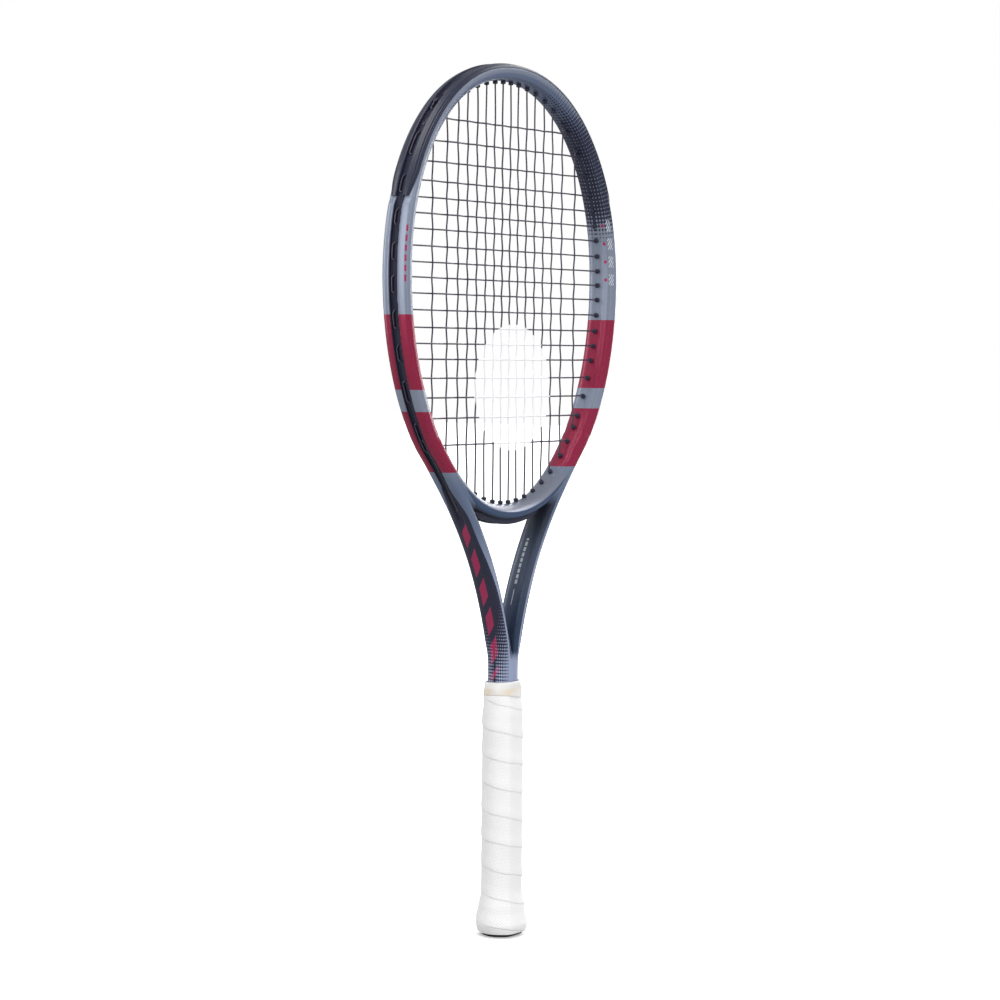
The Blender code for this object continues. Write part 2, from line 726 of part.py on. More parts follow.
def moved_up(ring, distance):
    return [point + Vector((0.0, 0.0, distance)) for point in ring]


def sleeve(name, outer, inner, paint):
    """Tube between two sets of rings that start and end at the same levels."""
    body = loft(name, outer, paint)
    bore = [moved_up(inner[0], -MM)] + inner[1:-1] + [moved_up(inner[-1], MM)]
    combine(body, loft(f"{name}_bore", bore), "DIFFERENCE")
    return body


def grip_wrap(paint):
    outer = [grip_ring(z, 0.0) for z in grip_levels()]
    inner = [grip_ring(z, GRIP_THICKNESS) for z in grip_levels()]
    return sleeve("grip_wrap", outer, inner, paint)


def finishing_tape(paint):
    """Tape over the grip's upper end and onto the shaft."""
    clearance = 1.5 * GAP
    over_grip = grip_levels()[-1] + 2 * GAP

    def rings(thickness):
        covered = [grip_ring(z, -clearance - thickness) for z in (TAPE_FOOT, over_grip)]
        around = clearance + GAP + thickness
        return covered + [octagon(SHAFT_HALF_WIDTH + around, SHAFT_HALF_DEPTH + around, TAPE_TOP, 1.0)]
    return sleeve("finishing_tape", rings(TAPE_THICKNESS), rings(0.0), paint)


def pallet(name, sign, paint):
    """Half of the octagonal pallet: it closes around the shaft from the front (-1) or the back (1)."""
    inset = GRIP_THICKNESS + GAP
    skirt = inset + SKIRT_THICKNESS + GAP
    rings = []
    for z, depth in ((PALLET_FOOT, skirt), (SKIRT_TOP + GAP, skirt), (SKIRT_TOP + 3 * GAP, inset)):
        rings.append(octagon(GRIP_HALF_WIDTH - depth, GRIP_HALF_DEPTH - depth, z))
    rings += [grip_ring(z, inset) for z in (PALLET_SHOULDER, PALLET_TOP)]
    body = loft(name, rings, paint)
    far = 240 * MM
    other_half = ((-far, sign * GAP / 2, -far), (far, -sign * far, far))
    combine(body, boxes(f"{name}_split", [other_half]), "DIFFERENCE")
    tenon = (TENON_HALF_SIZE + GAP) * 1.05
    neck = (SHAFT_HALF_DEPTH + GAP) * 1.04
    bore = [octagon(tenon, tenon, PALLET_FOOT - 5 * MM, 1.0), octagon(tenon, tenon, PALLET_TOP - 6 * MM, 1.0),
            octagon(neck, neck, PALLET_TOP + 4 * MM, 1.0)]
    combine(body, loft(f"{name}_bore", bore), "DIFFERENCE")
    leg = sign * STAPLE_HALF
    legs = []
    for side in (-1, 1):
        low = (side * (STAPLE_TIP - GAP), leg - 2 * GAP, STAPLE_LEVEL - 2 * GAP)
        legs.append((low, (side * GRIP_HALF_WIDTH, leg + 2 * GAP, STAPLE_LEVEL + 2 * GAP)))
    combine(body, boxes(f"{name}_leg_holes", legs), "DIFFERENCE")
    return body


def butt_cap(paint):
    """Flared cup over the handle's end, with a stepped opening for its plug."""
    inset = GRIP_THICKNESS + GAP
    outer = [octagon(14.6 * MM, 12.4 * MM, 0.0), octagon(16.4 * MM, 14.2 * MM, 0.9 * MM)]
    outer += [grip_ring(level * MM, inset) for level, _ in BUTT_FLARE]
    outer.append(grip_ring(SKIRT_TOP, inset))
    skirt = inset + SKIRT_THICKNESS
    hollow = []
    for z in (CAP_FLOOR, SKIRT_TOP + MM):
        hollow.append(octagon(GRIP_HALF_WIDTH - skirt, GRIP_HALF_DEPTH - skirt, z))
    body = loft("butt_cap", outer, paint)
    combine(body, loft("cap_hollow", hollow), "DIFFERENCE")
    seat = turned("plug_seat", [(0, 3), (8.9, 3), (8.9, 1.2), (11.1, 1.2), (11.1, -1), (0, -1)])
    combine(body, seat, "DIFFERENCE")
    slots = []
    for side in (-1, 1):
        low = (side * (STAPLE_CROWN - MM), -STAPLE_HALF - 2 * GAP, STAPLE_LEVEL - 2 * GAP)
        slots.append((low, (side * GRIP_HALF_WIDTH, STAPLE_HALF + 2 * GAP, STAPLE_LEVEL + 2 * GAP)))
    combine(body, boxes("staple_slots", slots), "DIFFERENCE")
    return body


def butt_plug(paint):
    """Snap-in plug: a flange in the cap's recess and a boss through its floor."""
    flange = [(10.8, 0.9), (10.8, 0.5), (10.4, 0.1), (0, 0.1)]
    return turned("butt_plug", [(0, 2.3), (8.6, 2.3), (8.6, 0.9)] + flange, paint)


def balance_weight(paint):
    """Small block fixed in the cap's hollow, under the shaft's end."""
    top, bottom = [(0, 11.3), (6.8, 11.3), (7.4, 10.6)], [(7.4, 3.4), (6.8, 2.7), (0, 2.7)]
    return turned("balance_weight", top + bottom, paint)


def staple(name, side, paint):
    """Holds the cap's skirt to both pallet halves; the grip covers it."""
    crown, tip = side * STAPLE_CROWN, side * STAPLE_TIP
    points = [(tip, -STAPLE_HALF), (crown, -STAPLE_HALF), (crown, STAPLE_HALF), (tip, STAPLE_HALF)]
    return wire(name, [Vector((x, y, STAPLE_LEVEL)) for x, y in points], STAPLE_WIRE, paint)


# ---- build --------------------------------------------------------------------------------------
def main():
    painted = material("painted_carbon", (0.17, 0.21, 0.27), 0.35, 0.3)
    black = material("black_nylon", (0.02, 0.02, 0.025), 0.45)
    strings = material("dark_string", (0.06, 0.055, 0.06), 0.4)
    white = material("white_grip", (0.86, 0.86, 0.86), 0.75)
    tape = material("white_tape", (0.82, 0.8, 0.76), 0.5)
    foam = material("pallet_foam", (0.55, 0.5, 0.4), 0.8)
    metal = material("grey_metal", (0.3, 0.3, 0.32), 0.5, 0.8)

    frame(painted)
    bumper_guard(black)
    side_strip("grommet_strip_left", -1, black)
    side_strip("grommet_strip_right", 1, black)
    throat_strip(black)
    wire("main_string", main_string_points(), STRING_DIAMETER, strings)
    wire("cross_string", cross_string_points(), STRING_DIAMETER, strings)
    pallet("pallet_front", -1, foam)
    pallet("pallet_back", 1, foam)
    butt_cap(black)
    butt_plug(black)
    balance_weight(metal)
    staple("staple_left", -1, metal)
    staple("staple_right", 1, metal)
    grip_wrap(white)
    finishing_tape(tape)


main()
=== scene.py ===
"""Looks of the tennis racket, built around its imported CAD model.

Metres. +Z runs from the butt to the tip of the head, the string bed lies in the XZ plane and the
front face looks towards -Y. Every visible piece is remade in finer meshes with procedural
materials; the hidden pieces inside the handle keep their CAD solids.
"""
import math

import bmesh
import bpy
import numpy as np
from mathutils import Matrix, Vector
from mathutils.bvhtree import BVHTree


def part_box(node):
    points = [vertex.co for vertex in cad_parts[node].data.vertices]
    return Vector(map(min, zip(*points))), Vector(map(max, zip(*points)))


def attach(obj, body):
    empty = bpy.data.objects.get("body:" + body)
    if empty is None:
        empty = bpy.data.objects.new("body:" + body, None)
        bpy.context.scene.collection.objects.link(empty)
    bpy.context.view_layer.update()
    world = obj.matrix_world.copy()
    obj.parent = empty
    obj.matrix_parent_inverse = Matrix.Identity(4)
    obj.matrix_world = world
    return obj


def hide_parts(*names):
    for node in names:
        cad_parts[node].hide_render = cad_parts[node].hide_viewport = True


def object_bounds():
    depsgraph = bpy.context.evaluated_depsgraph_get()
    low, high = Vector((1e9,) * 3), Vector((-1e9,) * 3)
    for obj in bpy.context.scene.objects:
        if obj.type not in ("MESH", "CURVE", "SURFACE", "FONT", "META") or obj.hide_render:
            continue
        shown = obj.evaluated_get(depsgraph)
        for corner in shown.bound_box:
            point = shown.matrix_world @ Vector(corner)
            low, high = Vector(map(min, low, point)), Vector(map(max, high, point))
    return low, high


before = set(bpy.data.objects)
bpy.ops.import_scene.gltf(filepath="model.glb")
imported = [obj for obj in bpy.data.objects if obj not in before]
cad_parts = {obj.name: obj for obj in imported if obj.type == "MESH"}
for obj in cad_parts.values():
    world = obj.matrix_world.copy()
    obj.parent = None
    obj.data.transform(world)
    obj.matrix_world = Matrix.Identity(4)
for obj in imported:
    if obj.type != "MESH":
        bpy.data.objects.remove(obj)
CAD_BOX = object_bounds()
MM = 0.001

# ---- driving dimensions -------------------------------------------------------------------------
TUBE_OUTER = 6.4 * MM               # centreline to the outer face
TUBE_INNER = 6.5 * MM               # centreline to the face that looks at the strings
TUBE_POWER = 2.6                    # squareness of the tube's section
NOSE_SLOPE = 0.36                   # its front and back fall away from a ridge in the middle
TUBE_WAIST = 1.4 * MM               # where it is deepest, out from the centreline
HEAD_CENTRE_Z = 519.0 * MM          # level of the widest place of the head
LIP_DROP = 0.16 * MM                # the channel cuts this much off the tube's outermost line
HOOP_HALF_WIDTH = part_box("frame")[1].x - TUBE_OUTER + LIP_DROP
HOOP_DROP = 183.0 * MM              # widest place down to the bridge's centreline
HOOP_POWER = 2.1                    # the upper half is a slightly squared ellipse
GUARD_RISE = 6.5 * MM               # centreline to the guard's ridges
HOOP_RISE = CAD_BOX[1].z - GUARD_RISE - HEAD_CENTRE_Z
GUARD_END = math.radians(70.5)      # hoop angle from the tip where the guard stops
GUARD_TAPER = math.radians(7.0)     # its wings narrow over this much before they end
GUARD_RECESS = 1.5 * MM
CHANNEL_FLOOR = 2.6 * MM            # channel for the grommet strips, out from the centreline
CHANNEL_HALF_WIDTH = 4.0 * MM
BRIDGE_UNDER = 5.6 * MM             # the bridge's centreline to its underside
BRIDGE_HALF_DEPTH = 10.9 * MM

STRING_DIAMETER = 1.3 * MM
MAIN_OFFSETS = [5.05, 15.4, 26.4, 37.9, 50.1, 62.1, 75.9, 94.0]
CROSS_LEVELS = [639.0, 621.6, 605.4, 590.6, 577.9, 565.8, 554.0, 541.2, 529.0, 517.4,
                505.4, 492.8, 479.6, 467.4, 455.5, 441.1, 426.1, 410.3, 389.5]
MAIN_WEAVE = 0.42 * MM
CROSS_WEAVE = 0.88 * MM             # the crosses bend more than the mains
LANE = 1.6 * MM                     # mains and crosses lie side by side in the outer channel
THROAT_MAINS = 4
HOLE_LEAN = 0.55                    # how far a hole turns from the string's line to the tube's normal
BARREL_STANDOUT = 2.6 * MM

SHAFT_HALF_WIDTH = 11.0 * MM
SHAFT_HALF_DEPTH = 11.2 * MM
TENON_HALF_SIZE = 10.0 * MM
SHAFT_AXIS = 5.5 * MM
SHAFT_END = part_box("frame")[0].z
ARM_CENTRELINE = [(86.9, 381.4), (79.6, 372.3), (72.9, 363.6), (64.0, 352.3), (53.0, 337.0), (42.3, 320.0),
                  (31.3, 300.0), (22.3, 280.0), (15.7, 262.0), (11.0, 247.0), (7.9, 235.0), (6.3, 226.0)]

GRIP_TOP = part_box("grip_wrap")[1].z
GRIP_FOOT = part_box("grip_wrap")[0].z
TAPE_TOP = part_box("finishing_tape")[1].z
GRIP_HALF_WIDTH = 17.0 * MM
GRIP_HALF_DEPTH = 14.8 * MM
GRIP_BEVEL = 16.28 * MM             # middle of the handle to its sloping flats
GRIP_BEVEL_TURN = math.atan2(8.0, 10.0)
GRIP_FLATS = [(0.0, GRIP_HALF_WIDTH), (GRIP_BEVEL_TURN, GRIP_BEVEL), (math.pi / 2, GRIP_HALF_DEPTH),
              (math.pi - GRIP_BEVEL_TURN, GRIP_BEVEL)]
GRIP_SHARPNESS = 12                 # the larger it is, the sharper the octagon's edges
# the grip's outline: level in millimetres, and its size against the straight part of the handle
GRIP_PROFILE = [(0.0, 0.97), (1.2, 1.07), (3.0, 1.16), (5.5, 1.21), (9.0, 1.263), (14.0, 1.22),
                (19.0, 1.155), (24.0, 1.12), (29.0, 1.05), (34.0, 1.0), (176.0, 1.0), (183.0, 0.955),
                (189.0, 0.92), (196.0, 0.865), (202.0, 0.74)]


# ---- small tools --------------------------------------------------------------------------------
def add_object(name, mesh, paint, smooth_angle=40):
    """A visible piece in the scene, shaded smooth up to the given angle."""
    thing = bpy.data.objects.new(name, mesh)
    bpy.context.scene.collection.objects.link(thing)
    if thing.type == "MESH":
        mesh.shade_smooth()
        mesh.set_sharp_from_angle(angle=math.radians(smooth_angle))
    mesh.materials.append(paint)
    return thing


def mesh_from(shape, name):
    bmesh.ops.recalc_face_normals(shape, faces=shape.faces)
    mesh = bpy.data.meshes.new(name)
    shape.to_mesh(mesh)
    shape.free()
    return mesh


def add_loft(shape, rings, closed_ends=True):
    """Skin over rings that all have the same number of points."""
    rows = [[shape.verts.new(point) for point in ring] for ring in rings]
    count = len(rows[0])
    for low, high in zip(rows, rows[1:]):
        for i in range(count):
            j = (i + 1) % count
            shape.faces.new((low[i], low[j], high[j], high[i]))
    if closed_ends:
        shape.faces.new(rows[0])
        shape.faces.new(rows[-1])


def add_turned(shape, profile, place, steps=16):
    """Round solid from (radius, height) pairs that start and end on the axis, set by a matrix."""
    bottom = shape.verts.new(place @ Vector((0.0, 0.0, profile[0][1])))
    top = shape.verts.new(place @ Vector((0.0, 0.0, profile[-1][1])))
    rows = []
    for radius, height in profile[1:-1]:
        turns = [2 * math.pi * k / steps for k in range(steps)]
        rows.append([shape.verts.new(place @ Vector((radius * math.cos(t), radius * math.sin(t), height)))
                     for t in turns])
    for i in range(steps):
        j = (i + 1) % steps
        shape.faces.new((bottom, rows[0][j], rows[0][i]))
        shape.faces.new((top, rows[-1][i], rows[-1][j]))
        for low, high in zip(rows, rows[1:]):
            shape.faces.new((low[i], low[j], high[j], high[i]))


def turned_profile(pairs):
    """Radius and height pairs from millimetres."""
    return [(radius * MM, height * MM) for radius, height in pairs]


def both_sides(half):
    """Closed outline from the half of it with Y above 0, whose first and last points lie at 0."""
    return half + [(out, -y) for out, y in reversed(half[1:-1])]


def walked(points):
    """Distance along a line of points, at each of them."""
    return np.concatenate([[0.0], np.cumsum(np.hypot(*np.diff(points, axis=0).T))])


def resampled(points, distances):
    """Where a line of points is at these distances along it."""
    run = walked(points)
    return np.column_stack([np.interp(distances, run, points[:, i]) for i in (0, 1)])


def between(value, levels, sizes):
    return float(np.interp(value, levels, sizes))


def smooth(value, low, high):
    """0 at low, 1 at high and smooth in between; low may be the larger one."""
    t = min(max((value - low) / (high - low), 0.0), 1.0)
    return t * t * (3.0 - 2.0 * t)


def arc(angle, reach, depth, power=TUBE_POWER, waist=0.0, slope=NOSE_SLOPE):
    """Point of a squared ellipse about the waist level whose ends slope, as (out, along Y)."""
    c, s = math.cos(angle), math.sin(angle)
    height = reach - math.copysign(waist, c)
    across = math.copysign(height * abs(c) ** (2 / power), c)
    y = min(depth * abs(s) ** (2 / power), depth - slope * abs(across))
    return waist + across, math.copysign(y, s)


def arcs(first, last, steps, *shape):
    """Points of arc() between two angles in degrees."""
    return [arc(math.radians(a), *shape) for a in np.linspace(first, last, steps)]


# ---- the head's centreline ----------------------------------------------------------------------
def hoop_point(angle):
    """Centreline of the head: angle 0 is the tip, +-90 degrees the widest place, 180 the bridge."""
    s, c = math.sin(angle), math.cos(angle)
    if c < 0:
        return HOOP_HALF_WIDTH * s, HEAD_CENTRE_Z + HOOP_DROP * c
    power = 2.0 / HOOP_POWER
    return (math.copysign(HOOP_HALF_WIDTH * abs(s) ** power, s),
            HEAD_CENTRE_Z + HOOP_RISE * abs(c) ** power)


def hoop_normal(angle):
    """Unit vector that points out of the head, in its plane."""
    x, z = hoop_point(angle)
    height = z - HEAD_CENTRE_Z
    if height < 0:
        across, up = x / HOOP_HALF_WIDTH ** 2, height / HOOP_DROP ** 2
    else:
        power = HOOP_POWER - 1.0
        across = math.copysign((abs(x) / HOOP_HALF_WIDTH) ** power / HOOP_HALF_WIDTH, x)
        up = (height / HOOP_RISE) ** power / HOOP_RISE
    size = math.hypot(across, up)
    return across / size, up / size


def hoop_offset(angle, distance):
    x, z = hoop_point(angle)
    across, up = hoop_normal(angle)
    return x + across * distance, z + up * distance


def hoop_angle_where(test, low, high):
    """Angle between low and high at which test() changes sign."""
    rising = test(high) > test(low)
    for _ in range(50):
        middle = (low + high) / 2
        if (test(middle) > 0) == rising:
            high = middle
        else:
            low = middle
    return (low + high) / 2


def station(angle):
    return (*hoop_point(angle), *hoop_normal(angle))


def spline(points, parts):
    """Catmull-Rom curve through the points."""
    spots = [np.array(p, float) for p in points]
    spots = [2 * spots[0] - spots[1]] + spots + [2 * spots[-1] - spots[-2]]
    line = []
    for a, b, c, d in zip(spots, spots[1:], spots[2:], spots[3:]):
        for t in np.arange(parts) / parts:
            line.append(0.5 * (2 * b + (c - a) * t + (2 * a - 5 * b + 4 * c - d) * t ** 2
                               + (3 * b - a - 3 * c + d) * t ** 3))
    return line + [spots[-2]]


LINE_STEP = 2.0 * MM
ARM_LEAVES = math.radians(135.0)    # hoop angle where the arm leaves the head's ellipse


def right_line():
    """Stations (x, z, normal x, normal z) down the right half of the tube, evenly spaced."""
    hoop = [hoop_point(a) for a in np.linspace(0, ARM_LEAVES, 200)]
    lower = [(x * MM, z * MM) for x, z in ARM_CENTRELINE] + [(SHAFT_AXIS, z * MM) for z in (217, 208, 197)]
    points = np.vstack([hoop[:-1], spline([hoop[-1]] + lower, 8), (SHAFT_AXIS, SHAFT_END)])
    line = resampled(points, np.arange(0.0, walked(points)[-1], LINE_STEP))
    spare = 10
    longer = np.vstack([line[spare:0:-1] * (-1, 1), line, np.repeat(line[-1:], spare, axis=0)])
    for _ in range(3):
        longer[1:-1] = (longer[:-2] + 2 * longer[1:-1] + longer[2:]) / 4
    line = longer[spare:-spare]
    tangent = np.gradient(line, axis=0)
    tangent[0] = (1.0, 0.0)
    tangent /= np.hypot(*tangent.T)[:, None]
    return np.column_stack([line, -tangent[:, 1], tangent[:, 0]])


TUBE = right_line()
BRIDGE = np.array([station(math.pi - a) for a in np.linspace(-1.0, 1.0, 400)])
GUARD_LEVEL = hoop_point(GUARD_END)[1]


# ---- the tube's sections ------------------------------------------------------------------------
def half_depth(z):
    return between(z, [200 * MM, 300 * MM, 345 * MM, 430 * MM, 520 * MM, 690 * MM],
                   [11.0 * MM, 10.8 * MM, 11.2 * MM, 12.5 * MM, 12.5 * MM, 11.0 * MM])


def outer_reach(z):
    """Centreline to the tube's outer face: recessed under the guard, slimmer down the arms."""
    plain = between(z, [235 * MM, 345 * MM, 385 * MM], [5.5 * MM, 5.3 * MM, TUBE_OUTER])
    return plain - GUARD_RECESS * smooth(z, GUARD_LEVEL - 7 * MM, GUARD_LEVEL)


def channel_width(z):
    """Half the width of the channel for the strips: it narrows down the arms."""
    return between(z, [335 * MM, 370 * MM, 430 * MM], [2.9 * MM, 3.3 * MM, CHANNEL_HALF_WIDTH])


def inner_reach(z):
    return between(z, [235 * MM, 345 * MM, 385 * MM], [5.5 * MM, 5.3 * MM, TUBE_INNER])


def tube_section(z):
    """Outline of the tube as (out from the centreline, along Y), from the front around to the back."""
    reach, inside, depth = outer_reach(z), inner_reach(z), half_depth(z)
    edge = channel_width(z)
    waist = TUBE_WAIST * smooth(z, 300 * MM, 400 * MM)
    rise = (1.0 - (edge / depth) ** TUBE_POWER) ** (1.0 / TUBE_POWER)
    lip = waist + (reach - waist) * rise
    deep = (reach - CHANNEL_FLOOR) * smooth(z, 326 * MM, 338 * MM)
    floor = lip - max(deep - (reach - lip), 0.0)
    foot = edge - 0.35 * MM
    start = math.degrees(math.asin((edge / depth) ** (TUBE_POWER / 2))) + 5.0
    outline = arcs(-86, -start, 12, reach, depth, TUBE_POWER, waist) + [(lip, -edge)]
    outline += [(floor, y) for y in (-foot, -foot / 3, foot / 3, foot)]
    outline += [(lip, edge)] + arcs(start, 90, 13, reach, depth, TUBE_POWER, waist)
    return outline + arcs(94, 266, 40, inside, depth, TUBE_POWER, waist)


def shaft_section(width, depth):
    """Half of the shaft, just past the middle so that the halves meet, with a shallow seam outside."""
    def skin(y):
        return width * (1.0 - (abs(y) / depth) ** TUBE_POWER) ** (1.0 / TUBE_POWER) - SHAFT_AXIS
    levels = np.linspace(0.93, CHANNEL_HALF_WIDTH * 1.1 / depth, 7) * depth
    inner_levels = np.linspace(CHANNEL_HALF_WIDTH, 0.4 * CHANNEL_HALF_WIDTH, 3)
    outside = [(skin(y), -y) for y in [*levels, *inner_levels]]
    outside += [(skin(y), y) for y in [*inner_levels[::-1], *levels[::-1]]]
    seam = -SHAFT_AXIS - 0.3 * MM
    inside = []
    for share in np.linspace(0.28, 0.0, 12):
        x = share * width
        skin_y = depth * (1.0 - share ** TUBE_POWER) ** (1.0 / TUBE_POWER)
        inside.append((x - SHAFT_AXIS, skin_y - 0.9 * MM * smooth(x, 2.2 * MM, 0.0)))
    inside[-1] = (seam, inside[-1][1])
    return outside, inside


def shaft_outline(z):
    """Closed outline of half the shaft at this level, where it may have slimmed to the tenon."""
    slim = smooth(z, 197 * MM, 187 * MM)
    width = SHAFT_HALF_WIDTH + (TENON_HALF_SIZE - SHAFT_HALF_WIDTH) * slim
    depth = SHAFT_HALF_DEPTH + (TENON_HALF_SIZE - SHAFT_HALF_DEPTH) * slim
    outside, inside = shaft_section(width, depth)
    return outside + inside + [(out, -y) for out, y in reversed(inside)]


def place_ring(spot, section, side=1):
    x, z, across, up = spot
    return [Vector((side * (x + across * out), y, z + up * out)) for out, y in section]


def even_section(outline, count):
    """The closed outline resampled to evenly spaced points, starting at its first one."""
    loop = np.array(outline + outline[:1])
    return resampled(loop, np.linspace(0.0, walked(loop)[-1], count, endpoint=False))


# ---- string holes -------------------------------------------------------------------------------
class Hole:
    """A string's way through the frame: mouth on the inside, exit on the strip outside."""

    def __init__(self, angle, along, lean, on_bridge):
        surface = Vector(hoop_offset(angle, -TUBE_INNER))
        normal = Vector(hoop_normal(angle))
        self.angle = angle
        self.direction = (along * (1 - lean) + normal * lean).normalized()
        self.mouth = surface - self.direction * BARREL_STANDOUT
        self.on_bridge = on_bridge

    def at(self, reach):
        """Point on the hole's axis that lies this far out from the centreline."""
        low, high = 0.0, 40 * MM
        for _ in range(30):
            middle = (low + high) / 2
            if distance_out(self.mouth + self.direction * middle, self.on_bridge) < reach:
                low = middle
            else:
                high = middle
        return self.mouth + self.direction * high


def distance_out(point, on_bridge):
    """Signed distance from the centreline of the tube, or of the bridge."""
    line = BRIDGE if on_bridge else TUBE
    side = point[0] if on_bridge else abs(point[0])
    x, z, across, up = line[np.argmin((line[:, 0] - side) ** 2 + (line[:, 1] - point[1]) ** 2)]
    return (side - x) * across + (point[1] - z) * up


def flat(point, y=0.0):
    return Vector((point[0], y, point[1]))


def main_holes():
    """(x, upper hole, lower hole) of each main run, from left to right."""
    holes = []
    for side in (-1, 1):
        for i, offset in enumerate(MAIN_OFFSETS):
            x = side * offset * MM
            top = hoop_angle_where(lambda a: hoop_offset(a, -TUBE_INNER)[0] - x, -1.5, 1.5)
            low = hoop_angle_where(lambda a: hoop_offset(a, -TUBE_INNER)[0] - x, 1.7, 2 * math.pi - 1.7)
            bridged = i < THROAT_MAINS
            upper = Hole(top, Vector((0, 1)), HOLE_LEAN, False)
            lower = Hole(low, Vector((0, -1)), 0.0 if bridged else 1.0, bridged)
            holes.append((x, upper, lower))
    return sorted(holes, key=lambda entry: entry[0])


def cross_holes():
    """(z, left hole, right hole) of each cross run, from the top down."""
    holes = []
    for level in CROSS_LEVELS:
        z = level * MM
        angle = hoop_angle_where(lambda a: hoop_offset(a, -TUBE_INNER)[1] - z, 0.2, 2.9)
        pair = [Hole(side * angle, Vector((side, 0)), HOLE_LEAN, False) for side in (-1, 1)]
        holes.append((z, *pair))
    return holes


MAINS = main_holes()
CROSSES = cross_holes()


def tip_angle(hole):
    return abs(math.atan2(math.sin(hole.angle), math.cos(hole.angle)))


def side_holes(side):
    """Holes that come out on one side: the crosses and the outer mains' lower ends."""
    lower = [low for x, _, low in MAINS if not low.on_bridge and x * side > 0]
    return lower + [right if side > 0 else left for _, left, right in CROSSES]


# ---- frame --------------------------------------------------------------------------------------
VOXEL = 1.05 * MM
SECTION_POINTS = 96


def tube_rings():
    """Rings from the left half of the shaft, around the head and down to the right half."""
    half = []
    for spot in TUBE:
        weight = smooth(spot[1], 238 * MM, 216 * MM)
        tube = even_section(tube_section(spot[1]), SECTION_POINTS)
        shaft = even_section(shaft_outline(spot[1]), SECTION_POINTS)
        half.append((spot, (1 - weight) * tube + weight * shaft))
    left = [place_ring(spot, outline, -1) for spot, outline in reversed(half)]
    return left + [place_ring(spot, outline) for spot, outline in half[1:]]


def bridge_rings():
    """Rings along the bridge: thin and deep at its ends, where they sink into the tube."""
    rings = []
    for angle in np.linspace(-math.radians(47), math.radians(47), 90):
        spread = abs(math.degrees(angle))
        under = between(spread, [16, 22, 27, 32, 36, 41, 47],
                        [BRIDGE_UNDER, 5.6 * MM, 5.2 * MM, 4.2 * MM, 2.8 * MM, 1.8 * MM, 1.4 * MM])
        depth = BRIDGE_HALF_DEPTH + 1.4 * MM * smooth(spread, 16, 44)
        roof = 1.35 + (TUBE_POWER - 1.35) * smooth(spread, 14, 40)
        waist = TUBE_WAIST * smooth(spread, 20, 44)
        outline = arcs(-87, 90, 30, under, depth, 3.4, waist, 0.0)
        outline += arcs(93, 267, 48, TUBE_INNER, depth, roof, waist, 0.0)
        rings.append(place_ring(station(math.pi - angle), outline))
    return rings


def nearest(points, line):
    """Index of the line's station nearest to each point, and the distance."""
    index = np.empty(len(points), int)
    away = np.empty(len(points))
    for start in range(0, len(points), 8000):
        part = points[start:start + 8000]
        square = ((part[:, None, :] - line[None, :, :2]) ** 2).sum(2)
        index[start:start + 8000] = square.argmin(1)
        away[start:start + 8000] = np.sqrt(square.min(1))
    return index, away


def store(mesh, name, values):
    layer = mesh.attributes.new(name, "FLOAT", "POINT")
    layer.data.foreach_set("value", np.asarray(values, np.float32))


def mark_places(mesh):
    """Tells the paint where it is: around the section (0 outer, 1 inner face) and on the bridge or not."""
    spots = np.array([v.co for v in mesh.vertices])
    side = np.column_stack([np.abs(spots[:, 0]), spots[:, 2]])
    index, to_tube = nearest(side, TUBE)
    x, z, across, up = TUBE[index].T
    out = (side[:, 0] - x) * across + (side[:, 1] - z) * up
    depth = np.array([half_depth(level) for level in z])
    around = np.arctan2(np.abs(spots[:, 1]) / depth, out / TUBE_OUTER) / math.pi
    bridge_index, to_bridge = nearest(spots[:, ::2], BRIDGE)
    closer = np.clip((to_tube - to_bridge) / (7 * MM) + 0.15, 0.0, 1.0)
    bridge_x, bridge_z, bridge_across, bridge_up = BRIDGE[bridge_index].T
    bridge_out = (spots[:, 0] - bridge_x) * bridge_across + (spots[:, 2] - bridge_z) * bridge_up
    on_bridge = np.arctan2(np.abs(spots[:, 1]) / BRIDGE_HALF_DEPTH, bridge_out / TUBE_OUTER) / math.pi
    around = np.where(closer > 0.5, on_bridge, around)
    store(mesh, "around", around)
    store(mesh, "bridge", closer)
    run = index * LINE_STEP + (side[:, 0] - x) * up - (side[:, 1] - z) * across
    store(mesh, "along", run)


def smoothed(mesh, rounds):
    shape = bmesh.new()
    shape.from_mesh(mesh)
    for _ in range(rounds):
        bmesh.ops.smooth_vert(shape, verts=shape.verts, factor=0.5, use_axis_x=True, use_axis_y=True,
                              use_axis_z=True)
    shape.to_mesh(mesh)
    shape.free()


def settled(mesh, lofts):
    """Moves the skin back onto the exact lofts, except in the soft corners where they meet."""
    for vertex in mesh.vertices:
        hits = sorted((loft.find_nearest(vertex.co) for loft in lofts), key=lambda hit: hit[3])
        weight = smooth(hits[1][3], 1.5 * MM, 5.0 * MM)
        vertex.co = vertex.co.lerp(hits[0][0], weight)


def loft_tree(rings):
    shape = bmesh.new()
    add_loft(shape, rings)
    tree = BVHTree.FromBMesh(shape)
    shape.free()
    return tree


def frame_shell(paint):
    """Tube and bridge joined into one skin with soft inner corners, as moulded."""
    tube, bridge = tube_rings(), bridge_rings()
    shape = bmesh.new()
    add_loft(shape, tube)
    add_loft(shape, bridge)
    source = bpy.data.objects.new("frame_source", mesh_from(shape, "frame_source"))
    bpy.context.scene.collection.objects.link(source)
    skin = source.modifiers.new("skin", "REMESH")
    skin.mode = "VOXEL"
    skin.voxel_size = VOXEL
    ready = source.evaluated_get(bpy.context.evaluated_depsgraph_get())
    mesh = bpy.data.meshes.new_from_object(ready)
    mesh.name = "frame_shell"
    bpy.data.objects.remove(source)
    smoothed(mesh, 6)
    settled(mesh, [loft_tree(tube), loft_tree(bridge)])
    mark_places(mesh)
    return add_object("frame_shell", mesh, paint, 70)


